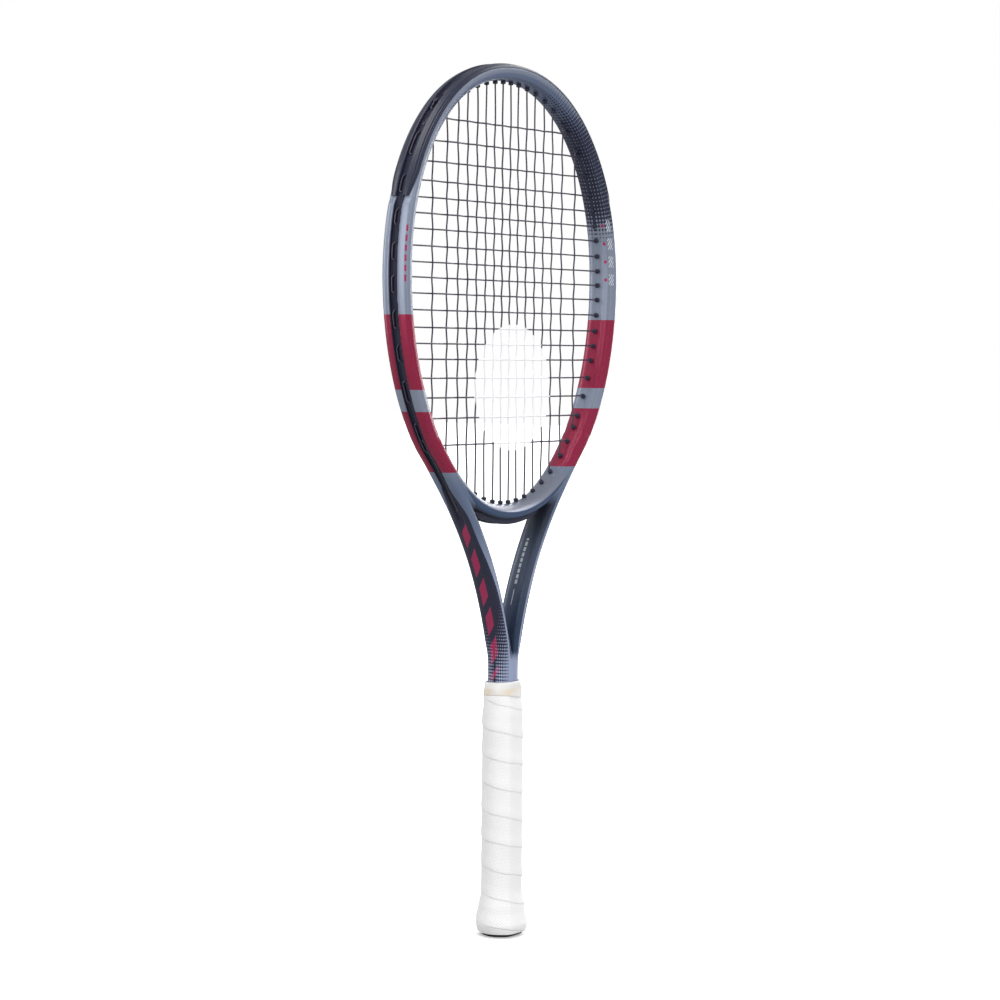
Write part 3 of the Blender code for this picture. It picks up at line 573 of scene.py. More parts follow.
# ---- grommet strips and bumper guard ------------------------------------------------------------
# a barrel's lip and neck as (radius, height from its mouth), in millimetres
BARREL = [(0, 0.9), (0.8, 0.9), (0.9, 0.15), (1.2, 0.0), (1.6, 0.1), (1.95, 0.5), (2.05, 1.1), (2.0, 1.8),
          (1.8, 2.4), (1.6, 3.0)]
STRIP_FACE = CHANNEL_FLOOR + 1.2 * MM
STRIP_END = 335 * MM
WING_START = 27.0                   # the guard's wings, in degrees around the section from the outer face
WING_END = 74.0
WING_TIP = 34.0                     # the same as WING_END where the guard itself ends
THROAT_STRIP_REACH = math.radians(17.2)
STRING_REACH = STRIP_FACE + 0.2 * MM + STRING_DIAMETER / 2
THROAT_FOOT = BRIDGE_UNDER - 0.4 * MM
THROAT_FACE = BRIDGE_UNDER + 1.5 * MM
THROAT_STRING = THROAT_FACE + 0.2 * MM + STRING_DIAMETER / 2


def add_barrels(shape, holes, foot):
    """Grommet barrels: a rounded lip around the string, then a straight neck down to the strip."""
    for hole in holes:
        start, end = flat(hole.mouth), flat(hole.at(foot))
        length = (end - start).length
        place = Matrix.Translation(start) @ (end - start).to_track_quat("Z", "Y").to_matrix().to_4x4()
        profile = turned_profile(BARREL)
        add_turned(shape, profile + [(profile[-1][0], length), (0, length)], place, 20)


def guard_section(z, reach_round):
    """Channel in the middle, a ridge on each side of it and a wing over each shoulder of the tube."""
    reach, depth = outer_reach(z) + 0.1 * MM, half_depth(z)
    thick = GUARD_RISE - (TUBE_OUTER - GUARD_RECESS) - 0.1 * MM
    wing = [math.radians(a) for a in np.linspace(WING_START, reach_round, 20)]
    inside = [(CHANNEL_FLOOR, 0.0), (CHANNEL_FLOOR, 3.6 * MM), (reach - 0.6 * MM, 3.7 * MM)]
    inside += [arc(a, reach - 0.3 * MM, depth - 0.2 * MM, TUBE_POWER, TUBE_WAIST) for a in wing]
    outside = []
    for k, a in enumerate(reversed(wing)):
        thin = 0.45 + 0.5 * smooth(k, 0, 3) - sum(0.4 * math.exp(-(k - groove) ** 2) for groove in (6, 13))
        outside.append(arc(a, reach + thick * thin, depth + 0.5 * MM, TUBE_POWER, TUBE_WAIST))
    crest = reach + thick
    ridge = [(crest - 0.3 * MM, 4.9 * MM), (crest, 4.4 * MM), (crest, 3.9 * MM),
             (crest - 0.3 * MM, 3.4 * MM), (STRIP_FACE + 0.5 * MM, 3.2 * MM), (STRIP_FACE, 2.8 * MM),
             (STRIP_FACE, 0.0)]
    return both_sides(inside + outside + ridge)


def bumper_guard(paint):
    shape = bmesh.new()
    rings = []
    for angle in np.linspace(-GUARD_END, GUARD_END, 260):
        full = min((GUARD_END - abs(angle)) / GUARD_TAPER, 1.0)
        reach_round = WING_TIP + (WING_END - WING_TIP) * full
        rings.append(place_ring(station(angle), guard_section(hoop_point(angle)[1], reach_round)))
    add_loft(shape, rings)
    uppers = [top for _, top, _ in MAINS]
    holes = [h for h in uppers + side_holes(-1) + side_holes(1) if tip_angle(h) < GUARD_END]
    add_barrels(shape, holes, CHANNEL_FLOOR + 0.5 * MM)
    return add_object("guard_over_head", mesh_from(shape, "guard_over_head"), paint, 35)


def strip_section(z):
    """Shallow channel between two rims."""
    top = outer_reach(z) - 0.5 * MM
    wide = channel_width(z) - 0.1 * MM
    narrow = wide - 0.8 * MM
    foot = CHANNEL_FLOOR - 0.3 * MM
    return both_sides([(foot, 0.0), (foot, wide), (top - 0.3 * MM, wide), (top, wide - 0.3 * MM),
                       (top, narrow + 0.1 * MM), (STRIP_FACE + 0.3 * MM, narrow),
                       (STRIP_FACE, narrow - 0.4 * MM), (STRIP_FACE, 0.0)])


def side_strip(name, side, paint):
    """From the bumper guard's end down onto the arm, where the channel runs out."""
    shape = bmesh.new()
    run = [spot for spot in TUBE if STRIP_END < spot[1] < GUARD_LEVEL and spot[0] > 40 * MM]
    rings = []
    for spot in [station(GUARD_END + 0.004)] + run:
        from_round = min((spot[1] - STRIP_END) / (4 * MM), 1.0) - 1.0
        narrowed = math.sqrt(1.0 - 0.9 * from_round ** 2)
        rings.append(place_ring(spot, [(out, y * narrowed) for out, y in strip_section(spot[1])], side))
    add_loft(shape, rings)
    holes = [hole for hole in side_holes(side) if tip_angle(hole) > GUARD_END]
    add_barrels(shape, holes, CHANNEL_FLOOR)
    return add_object(name, mesh_from(shape, name), paint, 35)


def throat_strip(paint):
    """Raised channel under the bridge, with rounded ends."""
    shape = bmesh.new()
    rings = []
    for step in np.sin(np.linspace(-math.pi / 2, math.pi / 2, 60)):
        end = math.sqrt(max(1.0 - abs(step) ** 14, 0.0))
        top = THROAT_FOOT + 4.2 * MM * (0.45 + 0.55 * end)
        wide = 4.9 * MM * (0.35 + 0.65 * end)
        narrow = wide - 1.3 * MM
        face = min(THROAT_FACE, top - 0.3 * MM)
        half = [(THROAT_FOOT, 0.0), (THROAT_FOOT, wide), (top - 0.7 * MM, wide),
                (top - 0.2 * MM, wide - 0.2 * MM), (top, wide - 0.6 * MM),
                (top - 0.1 * MM, narrow + 0.1 * MM), (face, narrow - 0.2 * MM), (face, 0.0)]
        rings.append(place_ring(station(math.pi - step * THROAT_STRIP_REACH), both_sides(half)))
    add_loft(shape, rings)
    add_barrels(shape, [low for _, _, low in MAINS if low.on_bridge], THROAT_FOOT + 0.5 * MM)
    return add_object("throat_strip", mesh_from(shape, "throat_strip"), paint, 35)


# ---- strings ------------------------------------------------------------------------------------
def weave(column, row, amount):
    """Mains pass in front (-Y) of every other cross."""
    return amount if (column + row) % 2 else -amount


def in_channel(point, lane, lift, on_bridge=False):
    """The point moved to the string's place in the outer channel."""
    line = BRIDGE if on_bridge else TUBE
    side = point[0] if on_bridge else abs(point[0])
    x, z, across, up = line[np.argmin((line[:, 0] - side) ** 2 + (line[:, 1] - point[1]) ** 2)]
    reach = (THROAT_STRING if on_bridge else STRING_REACH) + lift
    x, z = x + across * reach, z + up * reach
    return Vector((x if on_bridge else math.copysign(x, point[0]), lane, z))


def outside_run(first, second, lane, on_bridge=False):
    """Points along the outer channel from one hole to the next."""
    foot = (THROAT_FACE if on_bridge else STRIP_FACE) - 1.2 * MM
    reach = THROAT_STRING if on_bridge else STRING_REACH
    start, end = first.at(reach), second.at(reach)
    gap = (end - start).length
    points = [flat(first.at(foot)), flat(first.at(reach - 0.4 * MM), lane * 0.15)]
    for share in (1.7 * MM / gap, 0.3, 0.5, 0.7, 1 - 1.7 * MM / gap):
        lift = 0.1 * MM + 0.3 * MM * math.sin(math.pi * share)
        points.append(in_channel(start.lerp(end, share), lane, lift, on_bridge))
    return points + [flat(second.at(reach - 0.4 * MM), lane * 0.15), flat(second.at(foot))]


def tied_end(hole, towards, lane):
    """The string leaves its hole, runs to its neighbour and ends in two tight turns around it."""
    points = outside_run(hole, towards, lane)[:4]
    back = (points[-1] - points[-2]).normalized()
    across = back.cross(Vector((0, 1, 0))).normalized()
    middle = points[-1] + back * 2.4 * MM
    for k in range(17):
        turn = 2 * math.pi * k / 8
        spot = middle + across * math.cos(turn) * 0.75 * MM + back * k * 0.16 * MM
        points.append(spot + Vector((0, math.sin(turn) * 0.95 * MM, 0)))
    return points


def crosses(x, z, top, low, left, right):
    """Whether the main run at x and the cross run at z meet inside the head."""
    return left.mouth.x + MM < x < right.mouth.x - MM and low.mouth.y < z < top.mouth.y


def crossings_of_main(column, x, top, low):
    """Where a main run passes the crosses, from the top down."""
    spots = []
    for row, (z, left, right) in enumerate(CROSSES, 1):
        if crosses(x, z, top, low, left, right):
            spot = low.mouth.lerp(top.mouth, (z - low.mouth.y) / (top.mouth.y - low.mouth.y))
            spots.append(flat(spot, weave(column, row, MAIN_WEAVE)))
    return spots


def crossings_of_cross(row, z, left, right):
    """Where a cross run passes the mains, from left to right."""
    spots = []
    for column, (x, top, low) in enumerate(MAINS, 1):
        if crosses(x, z, top, low, left, right):
            spot = left.mouth.lerp(right.mouth, (x - left.mouth.x) / (right.mouth.x - left.mouth.x))
            spots.append(flat(spot, -weave(column, row, CROSS_WEAVE)))
    return spots


def laced(runs, crossings, lane, start_at, end_at):
    """One string back and forth through all its runs, tied at both ends, with its turns outside."""
    points = []
    for number, (place, first, last) in enumerate(runs, 1):
        run = [flat(first.mouth), *crossings(number, place, first, last), flat(last.mouth)]
        if number % 2 == 0:
            run.reverse()
            last = first
        if number == 1:
            points += reversed(tied_end(first, start_at, lane))
        points += run
        if number < len(runs):
            points += outside_run(last, runs[number][1 + number % 2], lane, last.on_bridge)
        else:
            points += tied_end(last, end_at, lane)
    return points


def string_curve(name, points, paint):
    """Round string on a smooth line through its points."""
    line = spline(points, 4)
    curve = bpy.data.curves.new(name, "CURVE")
    curve.dimensions = "3D"
    curve.bevel_depth = STRING_DIAMETER / 2
    curve.bevel_resolution = 2
    curve.use_fill_caps = True
    run = curve.splines.new("POLY")
    run.points.add(len(line) - 1)
    for knot, point in zip(run.points, line):
        knot.co = (*point, 1.0)
    return add_object(name, curve, paint)


# ---- handle -------------------------------------------------------------------------------------
def grip_radius(turn, z, inset):
    """Middle of the handle to its skin: a rounded octagon that becomes the shaft's section."""
    scale = between(z, [level * MM for level, _ in GRIP_PROFILE], [size for _, size in GRIP_PROFILE])
    total = sum(abs(math.cos(turn - flat_turn) / (distance * scale - inset)) ** GRIP_SHARPNESS
                for flat_turn, distance in GRIP_FLATS)
    octagon = total ** (-1 / GRIP_SHARPNESS)
    c, s = abs(math.cos(turn)), abs(math.sin(turn))
    wide, deep = GRIP_HALF_WIDTH * scale - inset, GRIP_HALF_DEPTH * scale - inset
    if z > GRIP_TOP:
        deep = deep + (wide - deep) * smooth(z, GRIP_TOP, TAPE_TOP)
    oval = ((c / wide) ** TUBE_POWER + (s / deep) ** TUBE_POWER) ** (-1 / TUBE_POWER)
    weight = smooth(z, 176 * MM, TAPE_TOP)
    return octagon * (1 - weight) + oval * weight


def grip_point(turn, z, inset):
    radius = grip_radius(turn, z, inset)
    return Vector((radius * math.cos(turn), radius * math.sin(turn), z))


WRAP_PITCH = 22.1 * MM
WRAP_WIDTH = 26.5 * MM
WRAP_LAYER = 0.5 * MM
WRAP_STEPS = 96


def wrap_ring(turn):
    """Section of the wound tape at this turn: its skin from the lower edge up, then its inner side."""
    sway = 0.35 * MM * math.sin(1.7 * turn) + 0.2 * MM * math.sin(4.3 * turn + 1.0)
    low = GRIP_FOOT - WRAP_WIDTH + WRAP_PITCH * turn / (2 * math.pi) + sway
    edge, end = max(low, GRIP_FOOT), min(low + WRAP_WIDTH, GRIP_TOP)
    if end - edge < 0.8 * MM:
        return None
    overlap = WRAP_WIDTH - WRAP_PITCH
    skin, back = [], []
    for share in [0.0, 0.012, 0.03, 0.06, *np.linspace(0.1, 1.0, 20)]:
        z = edge + (end - edge) * share
        across = z - low
        rise = smooth(across, -0.1 * MM, 0.7 * MM) if edge == low else 1.0
        over = 1.0 - smooth(across, overlap * 0.6, overlap * 2.6)
        height = WRAP_LAYER * (0.35 + 0.65 * rise) * (1.0 + over)
        height -= 0.15 * MM * smooth(across, WRAP_PITCH, WRAP_WIDTH)
        skin.append(grip_point(-turn, z, 0.75 * MM - height))
        back.append(grip_point(-turn, z, 1.0 * MM))
    return skin + back[::-1]


def grip_wrap(paint):
    """Overlapping turns of tape from the butt to the top of the handle."""
    turns = (GRIP_TOP - GRIP_FOOT + WRAP_WIDTH) / WRAP_PITCH
    rings = []
    for k in range(int(turns * WRAP_STEPS) + WRAP_STEPS):
        ring = wrap_ring(2 * math.pi * k / WRAP_STEPS)
        if ring:
            rings.append(ring)
    shape = bmesh.new()
    add_loft(shape, rings)
    return add_object("wound_grip", mesh_from(shape, "wound_grip"), paint, 55)


def finishing_tape(paint):
    """A little over one turn of tape, higher where it starts and with its end laid over it."""
    rings = []
    for k in range(113):
        turn = 2 * math.pi * (k / 96 - 0.36)
        lap = smooth(k, 96, 99) * 0.35 * MM
        top = TAPE_TOP + 0.4 * MM + 0.6 * MM * math.cos(turn + 0.9)
        foot = 191.5 * MM + 0.7 * MM * math.sin(2 * turn + 0.6) - 1.2 * MM * smooth(k, 96, 112)
        skin, back = [], []
        for share in [0.0, 0.02, 0.06, *np.linspace(0.12, 0.9, 12), 0.96, 0.99, 1.0]:
            z = foot + (top - foot) * share
            wrinkle = 0.06 * MM * math.sin(9 * turn + 400 * z) * math.sin(math.pi * share)
            edge = min(smooth(share, -0.02, 0.05), smooth(share, 1.01, 0.96))
            height = 0.15 * MM + 0.45 * MM * edge + lap + wrinkle
            skin.append(grip_point(turn, z, 0.1 * MM - height))
            back.append(grip_point(turn, z, 0.45 * MM))
        rings.append(skin + back[::-1])
    shape = bmesh.new()
    add_loft(shape, rings)
    return add_object("collar_tape", mesh_from(shape, "collar_tape"), paint, 55)


def butt_cap(paint):
    """Moulded cap with a rounded foot and a seat for its plug."""
    turns = [2 * math.pi * k / 96 for k in range(96)]
    seat = [(8.9, 2.4), (8.9, 1.2), (11.1, 1.2), (11.2, 0.2)]
    outside = [(0.15, 3.6), (0.0, 2.9), (0.3, 1.6), (0.9, 0.9), (2.0, 1.1)]
    outside += [(z, 1.9) for z in (3.0, 5.5, 9.0, 14.0, 20.0, 28.0, 36.0)]
    inside = [(z, 2.8) for z in (36.0, 34.0, 10.0, 2.4)]
    rings = [[Vector((radius * math.cos(t), radius * math.sin(t), z)) for t in turns]
             for radius, z in turned_profile(seat)]
    rings += [[grip_point(t, z * MM, inset * MM) for t in turns] for z, inset in outside + inside]
    shape = bmesh.new()
    add_loft(shape, rings + rings[:1], closed_ends=False)
    bmesh.ops.remove_doubles(shape, verts=shape.verts, dist=0.001 * MM)
    return add_object("cap_on_butt", mesh_from(shape, "cap_on_butt"), paint, 35)


def butt_plug(paint):
    """Disc with a shallow dish in the middle and a boss that goes through the cap's floor."""
    shape = bmesh.new()
    profile = [(0, 0.5), (3.4, 0.5), (4.0, 0.45), (4.3, 0.15), (9.6, 0.1), (10.5, 0.2), (10.85, 0.55),
               (10.85, 1.0), (8.6, 1.0), (8.6, 2.3), (0, 2.3)]
    add_turned(shape, turned_profile(profile), Matrix.Identity(4), 72)
    return add_object("plug_in_cap", mesh_from(shape, "plug_in_cap"), paint, 35)


# ---- materials ----------------------------------------------------------------------------------
class Finish:
    """A procedural material, written as short calls."""

    def __init__(self, name, **values):
        self.material = bpy.data.materials.new(name)
        self.material.use_nodes = True
        self.tree = self.material.node_tree
        self.shader = self.tree.nodes["Principled BSDF"]
        for socket, value in values.items():
            self.shader.inputs[socket.replace("_", " ")].default_value = value
        self.place = self.tree.nodes.new("ShaderNodeTexCoord").outputs["Object"]
        split = self.tree.nodes.new("ShaderNodeSeparateXYZ")
        self.put(split.inputs[0], self.place)
        self.x, self.y, self.z = split.outputs

    def put(self, socket, value):
        """Links a node's output, or sets a number or a colour."""
        if isinstance(value, bpy.types.NodeSocket):
            self.tree.links.new(value, socket)
        else:
            socket.default_value = (*value, 1.0) if isinstance(value, tuple) else value

    def shade(self, socket, value):
        self.put(self.shader.inputs[socket], value)

    def attribute(self, name):
        node = self.tree.nodes.new("ShaderNodeAttribute")
        node.attribute_name = name
        return node.outputs["Fac"]

    def math(self, operation, *values):
        node = self.tree.nodes.new("ShaderNodeMath")
        node.operation = operation
        for socket, value in zip(node.inputs, values):
            self.put(socket, value)
        return node.outputs[0]

    def times(self, *values):
        result = values[0]
        for value in values[1:]:
            result = self.math("MULTIPLY", result, value)
        return result

    def add_times(self, value, factor, base):
        """base + value * factor"""
        return self.math("MULTIPLY_ADD", value, factor, base)

    def opposite(self, share):
        return self.math("SUBTRACT", 1.0, share)

    def apart(self, first, second):
        """Distance from two offsets at right angles."""
        return self.math("SQRT", self.math("ADD", self.times(first, first), self.times(second, second)))

    def beat(self, value, pitch):
        """Runs from 0 to 1 over each pitch."""
        return self.math("FRACT", self.math("DIVIDE", value, pitch))

    def step(self, value, low, high):
        """0 below low, 1 above high and smooth in between; turned around where low is the larger one."""
        node = self.tree.nodes.new("ShaderNodeMapRange")
        node.interpolation_type = "SMOOTHSTEP"
        for name, number in (("Value", value), ("From Min", low), ("From Max", high)):
            self.put(node.inputs[name], number)
        return node.outputs[0]

    def band(self, value, low, high, soft):
        above = self.step(value, low - soft, low + soft)
        return self.times(above, self.step(value, high + soft, high - soft))

    def level(self, low, high):
        """step() up the racket, in millimetres."""
        return self.step(self.z, low * MM, high * MM)

    def belt(self, low, high, soft):
        """band() up the racket, in millimetres."""
        return self.band(self.z, low * MM, high * MM, soft * MM)

    def mix(self, share, first, second):
        node = self.tree.nodes.new("ShaderNodeMix")
        node.data_type = "RGBA"     # its colours are inputs 6 and 7 and output 2
        self.put(node.inputs["Factor"], share)
        self.put(node.inputs[6], first)
        self.put(node.inputs[7], second)
        return node.outputs[2]

    def noise(self, scale, detail=3.0):
        node = self.tree.nodes.new("ShaderNodeTexNoise")
        self.put(node.inputs["Vector"], self.place)
        node.inputs["Scale"].default_value = scale
        node.inputs["Detail"].default_value = detail
        return node.outputs["Fac"]

    def flakes(self, scale):
        node = self.tree.nodes.new("ShaderNodeTexVoronoi")
        self.put(node.inputs["Vector"], self.place)
        node.inputs["Scale"].default_value = scale
        return node.outputs["Color"]

    def bump(self, height, distance, strength):
        node = self.tree.nodes.new("ShaderNodeBump")
        node.inputs["Strength"].default_value = strength
        node.inputs["Distance"].default_value = distance
        self.put(node.inputs["Height"], height)
        self.shade("Normal", node.outputs[0])

    def vary(self, value, amount, middle):
        """middle plus or minus amount, led by a 0 to 1 value."""
        return self.add_times(value, 2 * amount, middle - amount)


def linear(red, green, blue):
    """Screen colour, 0 to 255, as the linear values that nodes take."""
    parts = [c / 255 for c in (red, green, blue)]
    return tuple(c / 12.92 if c <= 0.04045 else ((c + 0.055) / 1.055) ** 2.4 for c in parts)


SILVER = linear(137, 146, 165)
SLATE = linear(100, 114, 144)
THROAT = linear(104, 119, 148)
# painted shade: the bridge's front and underside in deep blue, darker as if lit from above
SHADED_BRIDGE_BLUE = linear(58, 80, 114)
NAVY = linear(32, 35, 62)
LAVENDER = linear(166, 177, 208)
# painted highlight: the bridge's up-facing crown, paler as if lit from above
LIT_CROWN = linear(126, 131, 147)       # the bridge's upper side
# painted shade: the arms' inner sides, darkest just under the bridge
SHADE_UNDER_BRIDGE = linear(34, 40, 58)   # the arms' inner sides, from the bridge down
ARM_INSIDE = linear(64, 76, 96)
# painted shade: darker blue in the fork where the arms meet
FORK_SHADE = linear(40, 58, 88)
RASPBERRY = linear(150, 3, 60)
PINK = linear(172, 32, 88)
WHITE_INK = linear(236, 238, 242)

HALF_GIRTH = 36.0 * MM              # around the tube from its outer to its inner face
# levels up the racket, in millimetres
PANELS = [(433.0, 489.0), (370.0, 416.5)]
DASHES = (512.0, 555.0)
MARKS = (514.5, 574.0)
BLOCKS = (206.0, 326.0)
BROKEN_BAR = (278.0, 313.5)
THIN_LINE = (262.0, 274.0)
# pitches of what repeats
DASH_PITCH = 7.4 * MM
MARK_PITCH = 14.7 * MM
STROKE_PITCH = 3.6 * MM
BLOCK_PITCH = 23.5 * MM
BAR_PITCH = 4.2 * MM


def halftone(f, run, across, row_pitch, dot_pitch, density):
    """Round dots in rows that grow with the density and leave pin points at the most."""
    waves = [f.math("COSINE", f.times(run, 2 * math.pi / row_pitch)),
             f.math("COSINE", f.times(across, 2 * math.pi / dot_pitch))]
    cell = f.add_times(f.math("ADD", *waves), 0.25, 0.5)
    return f.step(f.math("ADD", cell, density), 0.98, 1.06)


def hoop_paint(f, around, across, run, printed):
    """Silver, with slate inside the tip and a dark halftone over the upper quarters."""
    tip = f.times(f.level(585, 640), f.step(around, 0.50, 0.62))
    ground = f.mix(tip, SILVER, SLATE)
    density = f.times(f.level(683, 628), f.level(546, 582), 0.86)
    place = f.times(f.math("MAXIMUM", f.step(around, 0.62, 0.66), printed), f.step(around, 0.33, 0.37),
                    f.level(520, 545))
    dots = halftone(f, run, across, 3.3 * MM, 2.7 * MM, density)
    return f.mix(f.times(dots, place), ground, NAVY)


def side_marks(f, ground, around, across, run, printed):
    """Small plain marks on the sides: dashes on one face, hatches and dots on the other."""
    dashes = f.times(f.band(around, 0.26, 0.31, 0.006), f.belt(*DASHES, 0.3),
                     f.step(f.beat(f.z, DASH_PITCH), 0.34, 0.38), f.opposite(printed))
    ground = f.mix(dashes, ground, PINK)
    place = f.times(f.math("SUBTRACT", f.beat(f.z, MARK_PITCH), 0.5), MARK_PITCH)
    strokes = f.beat(f.add_times(across, -1.1, run), STROKE_PITCH)
    rows = f.times(f.belt(*MARKS, 0.2), printed)
    hatch = f.times(f.step(strokes, 0.62, 0.68), f.step(f.math("ABSOLUTE", place), 4.6 * MM, 4.4 * MM),
                    f.band(around, 0.54, 0.74, 0.004), rows)
    ground = f.mix(hatch, ground, WHITE_INK)
    away = f.apart(place, f.math("SUBTRACT", across, 0.82 * HALF_GIRTH))
    return f.mix(f.times(f.step(away, 1.5 * MM, 1.2 * MM), rows), ground, PINK)


def throat_paint(f, ground, around, bridge):
    """Arms with light faces and a dark blue inside with painted shade, darkest under the bridge and in the
    fork; the bridge has painted light and shade: deep blue on its front and underside, a pale crown on top.
    """
    ground = f.mix(f.level(385, 352), ground, THROAT)
    arms = f.times(f.level(335, 270), f.step(bridge, 0.35, 0.1))
    ground = f.mix(arms, ground, LAVENDER)
    # painted light and shade on the bridge: deep blue on its front and underside, a pale crown on top
    beam = f.step(bridge, 0.25, 0.7)
    ground = f.mix(f.times(beam, f.step(around, 0.55, 0.50)), ground, SHADED_BRIDGE_BLUE)
    ground = f.mix(f.times(beam, f.step(around, 0.50, 0.55)), ground, LIT_CROWN)
    # the arms' dark blue inner sides, with painted shade that is darkest under the bridge and in the fork
    within = f.times(f.step(around, 0.53, 0.57), f.level(352, 338), f.level(218, 227),
                     f.step(bridge, 0.5, 0.2))
    inside_with_shade = f.mix(f.level(335, 300), SHADE_UNDER_BRIDGE, ARM_INSIDE)
    inside_with_shade = f.mix(f.level(285, 245), inside_with_shade, FORK_SHADE)
    return f.mix(within, ground, inside_with_shade)


def arm_sides(f, ground, around, across):
    """The dark outer sides of the arms, with plain slanted blocks and light dots that grow downwards."""
    edge = f.add_times(f.level(362, 331), 0.165, 0.11)
    edge = f.add_times(f.level(325, 265), 0.19, edge)
    outside = f.times(f.step(f.math("SUBTRACT", edge, around), -0.004, 0.004), f.level(366, 362))
    ground = f.mix(outside, ground, NAVY)
    slant = f.add_times(f.y, 1.3, f.z)
    low, high = (level * MM for level in BLOCKS)
    blocks = f.times(f.step(f.beat(slant, BLOCK_PITCH), 0.34, 0.37), f.band(slant, low, high, 0.5 * MM),
                     f.step(around, 0.125, 0.115))
    ground = f.mix(blocks, ground, PINK)
    density = f.add_times(f.level(272, 200), 0.66, f.add_times(around, 0.9, -0.32))
    dots = f.times(halftone(f, f.z, across, 2.6 * MM, 1.9 * MM, density), outside, f.level(300, 290))
    return f.mix(dots, ground, LAVENDER)


def inner_bars(f, ground, around):
    """A plain broken bar and a thin line along the inside of one arm."""
    side = f.times(f.step(around, 0.8, 0.85), f.step(f.x, 2 * MM, 4 * MM))
    wide = f.times(f.band(f.y, -1.1 * MM, 1.1 * MM, 0.1 * MM), f.belt(*BROKEN_BAR, 0.1),
                   f.step(f.beat(f.z, BAR_PITCH), 0.26, 0.30))
    thin = f.times(f.band(f.y, -0.3 * MM, 0.4 * MM, 0.1 * MM), f.belt(*THIN_LINE, 0.3))
    return f.mix(f.times(side, f.math("MAXIMUM", wide, thin), 0.55), ground, WHITE_INK)


def painted_carbon():
    """Metallic paint under lacquer. The frame's mesh tells it where it is, as mark_places() stores it."""
    f = Finish("painted_carbon", Metallic=0.4, Specular_IOR_Level=0.2, Coat_Weight=0.3, Coat_Roughness=0.14)
    around, bridge, run = f.attribute("around"), f.attribute("bridge"), f.attribute("along")
    across = f.times(around, HALF_GIRTH)
    # the front on the right and the back on the left, so that half a turn brings the print back
    printed = f.step(f.times(f.math("SIGN", f.x), f.y), 0.8 * MM, -0.8 * MM)
    ground = hoop_paint(f, around, across, run, printed)
    ground = side_marks(f, ground, around, across, run, printed)
    ground = throat_paint(f, ground, around, bridge)
    panels = f.math("MAXIMUM", *[f.belt(low, high, 0.25) for low, high in PANELS])
    ground = f.mix(f.times(panels, f.step(bridge, 0.5, 0.35)), ground, RASPBERRY)
    ground = arm_sides(f, ground, around, across)
    ground = inner_bars(f, ground, around)
    f.shade("Base Color", f.mix(0.04, ground, f.flakes(3200.0)))
    f.shade("Roughness", f.vary(f.noise(900.0), 0.05, 0.38))
    f.bump(f.noise(140.0, 2.0), 0.02 * MM, 0.4)
    return f.material


def moulded_nylon(name, colour, grain):
    f = Finish(name, Specular_IOR_Level=0.5)
    f.shade("Base Color", f.mix(f.noise(60.0), colour, tuple(1.5 * c for c in colour)))
    f.shade("Roughness", f.vary(f.noise(350.0), 0.06, 0.31))
    f.bump(f.noise(grain, 4.0), 0.02 * MM, 0.4)
    return f.material


STENCIL_Z = 434.0 * MM
STENCIL_X = 10.0 * MM
STENCIL_RADIUS = 50.0 * MM


def string_finish():
    """Dark monofilament with a plain round stencil in white ink on the string bed."""
    f = Finish("string_filament", Roughness=0.33, Coat_Weight=0.3)
    away = f.apart(f.math("SUBTRACT", f.x, STENCIL_X), f.math("SUBTRACT", f.z, STENCIL_Z))
    ragged = f.add_times(f.noise(700.0), 1.2 * MM, away)
    ink = f.step(ragged, STENCIL_RADIUS + 0.8 * MM, STENCIL_RADIUS - 0.2 * MM)
    dark = f.mix(f.noise(220.0), linear(50, 45, 60), linear(76, 69, 86))
    f.shade("Base Color", f.mix(ink, dark, linear(246, 246, 248)))
    f.bump(f.noise(1500.0), 0.02 * MM, 0.4)
    return f.material


def wrap_finish():
    """White perforated grip: two crossing sets of slanted rows of pin holes, painted grey inside as shade,
    soft grain between.
    """
    f = Finish("perforated_wrap", Roughness=0.72, Sheen_Weight=0.25)
    around = f.times(f.math("ARCTAN2", f.y, f.x), 16.5 * MM)
    rows = f.beat(f.add_times(around, 1.19, f.z), 2.5 * MM)
    columns = f.beat(f.add_times(around, -0.84, f.z), 2.0 * MM)
    distance = f.apart(*[f.math("SUBTRACT", value, 0.5) for value in (rows, columns)])
    hole = f.step(distance, 0.27, 0.15)
    cloud = f.noise(45.0)
    base = f.mix(cloud, linear(240, 238, 236), linear(250, 249, 249))
    # painted shade: the pin holes are darkened towards grey
    f.shade("Base Color", f.mix(f.times(hole, 0.34), base, linear(172, 166, 164)))
    f.shade("Roughness", f.vary(cloud, 0.05, 0.72))
    f.bump(f.math("SUBTRACT", f.times(f.noise(1100.0), 0.35), hole), 0.25 * MM, 0.6)
    return f.material


def tape_finish():
    """Smooth white tape, yellowed towards its lower edge where the glue shows."""
    f = Finish("collar_tape", Roughness=0.45, Coat_Weight=0.15)
    stain = f.times(f.level(199.0, 196.5), f.step(f.noise(70.0, 4.0), 0.3, 0.62))
    f.shade("Base Color", f.mix(stain, linear(230, 228, 226), linear(224, 210, 188)))
    f.bump(f.noise(260.0), 0.12 * MM, 0.5)
    return f.material


def pallet_foam():
    f = Finish("pallet_foam", Roughness=0.85)
    f.shade("Base Color", f.mix(f.noise(400.0), linear(186, 172, 140), linear(206, 194, 164)))
    f.bump(f.flakes(900.0), 0.2 * MM, 0.5)
    return f.material


def dull_metal(name, colour):
    f = Finish(name, Metallic=0.9, Roughness=0.45)
    f.shade("Base Color", f.mix(f.noise(300.0), colour, tuple(0.7 * c for c in colour)))
    f.shade("Roughness", f.vary(f.noise(500.0), 0.1, 0.45))
    return f.material


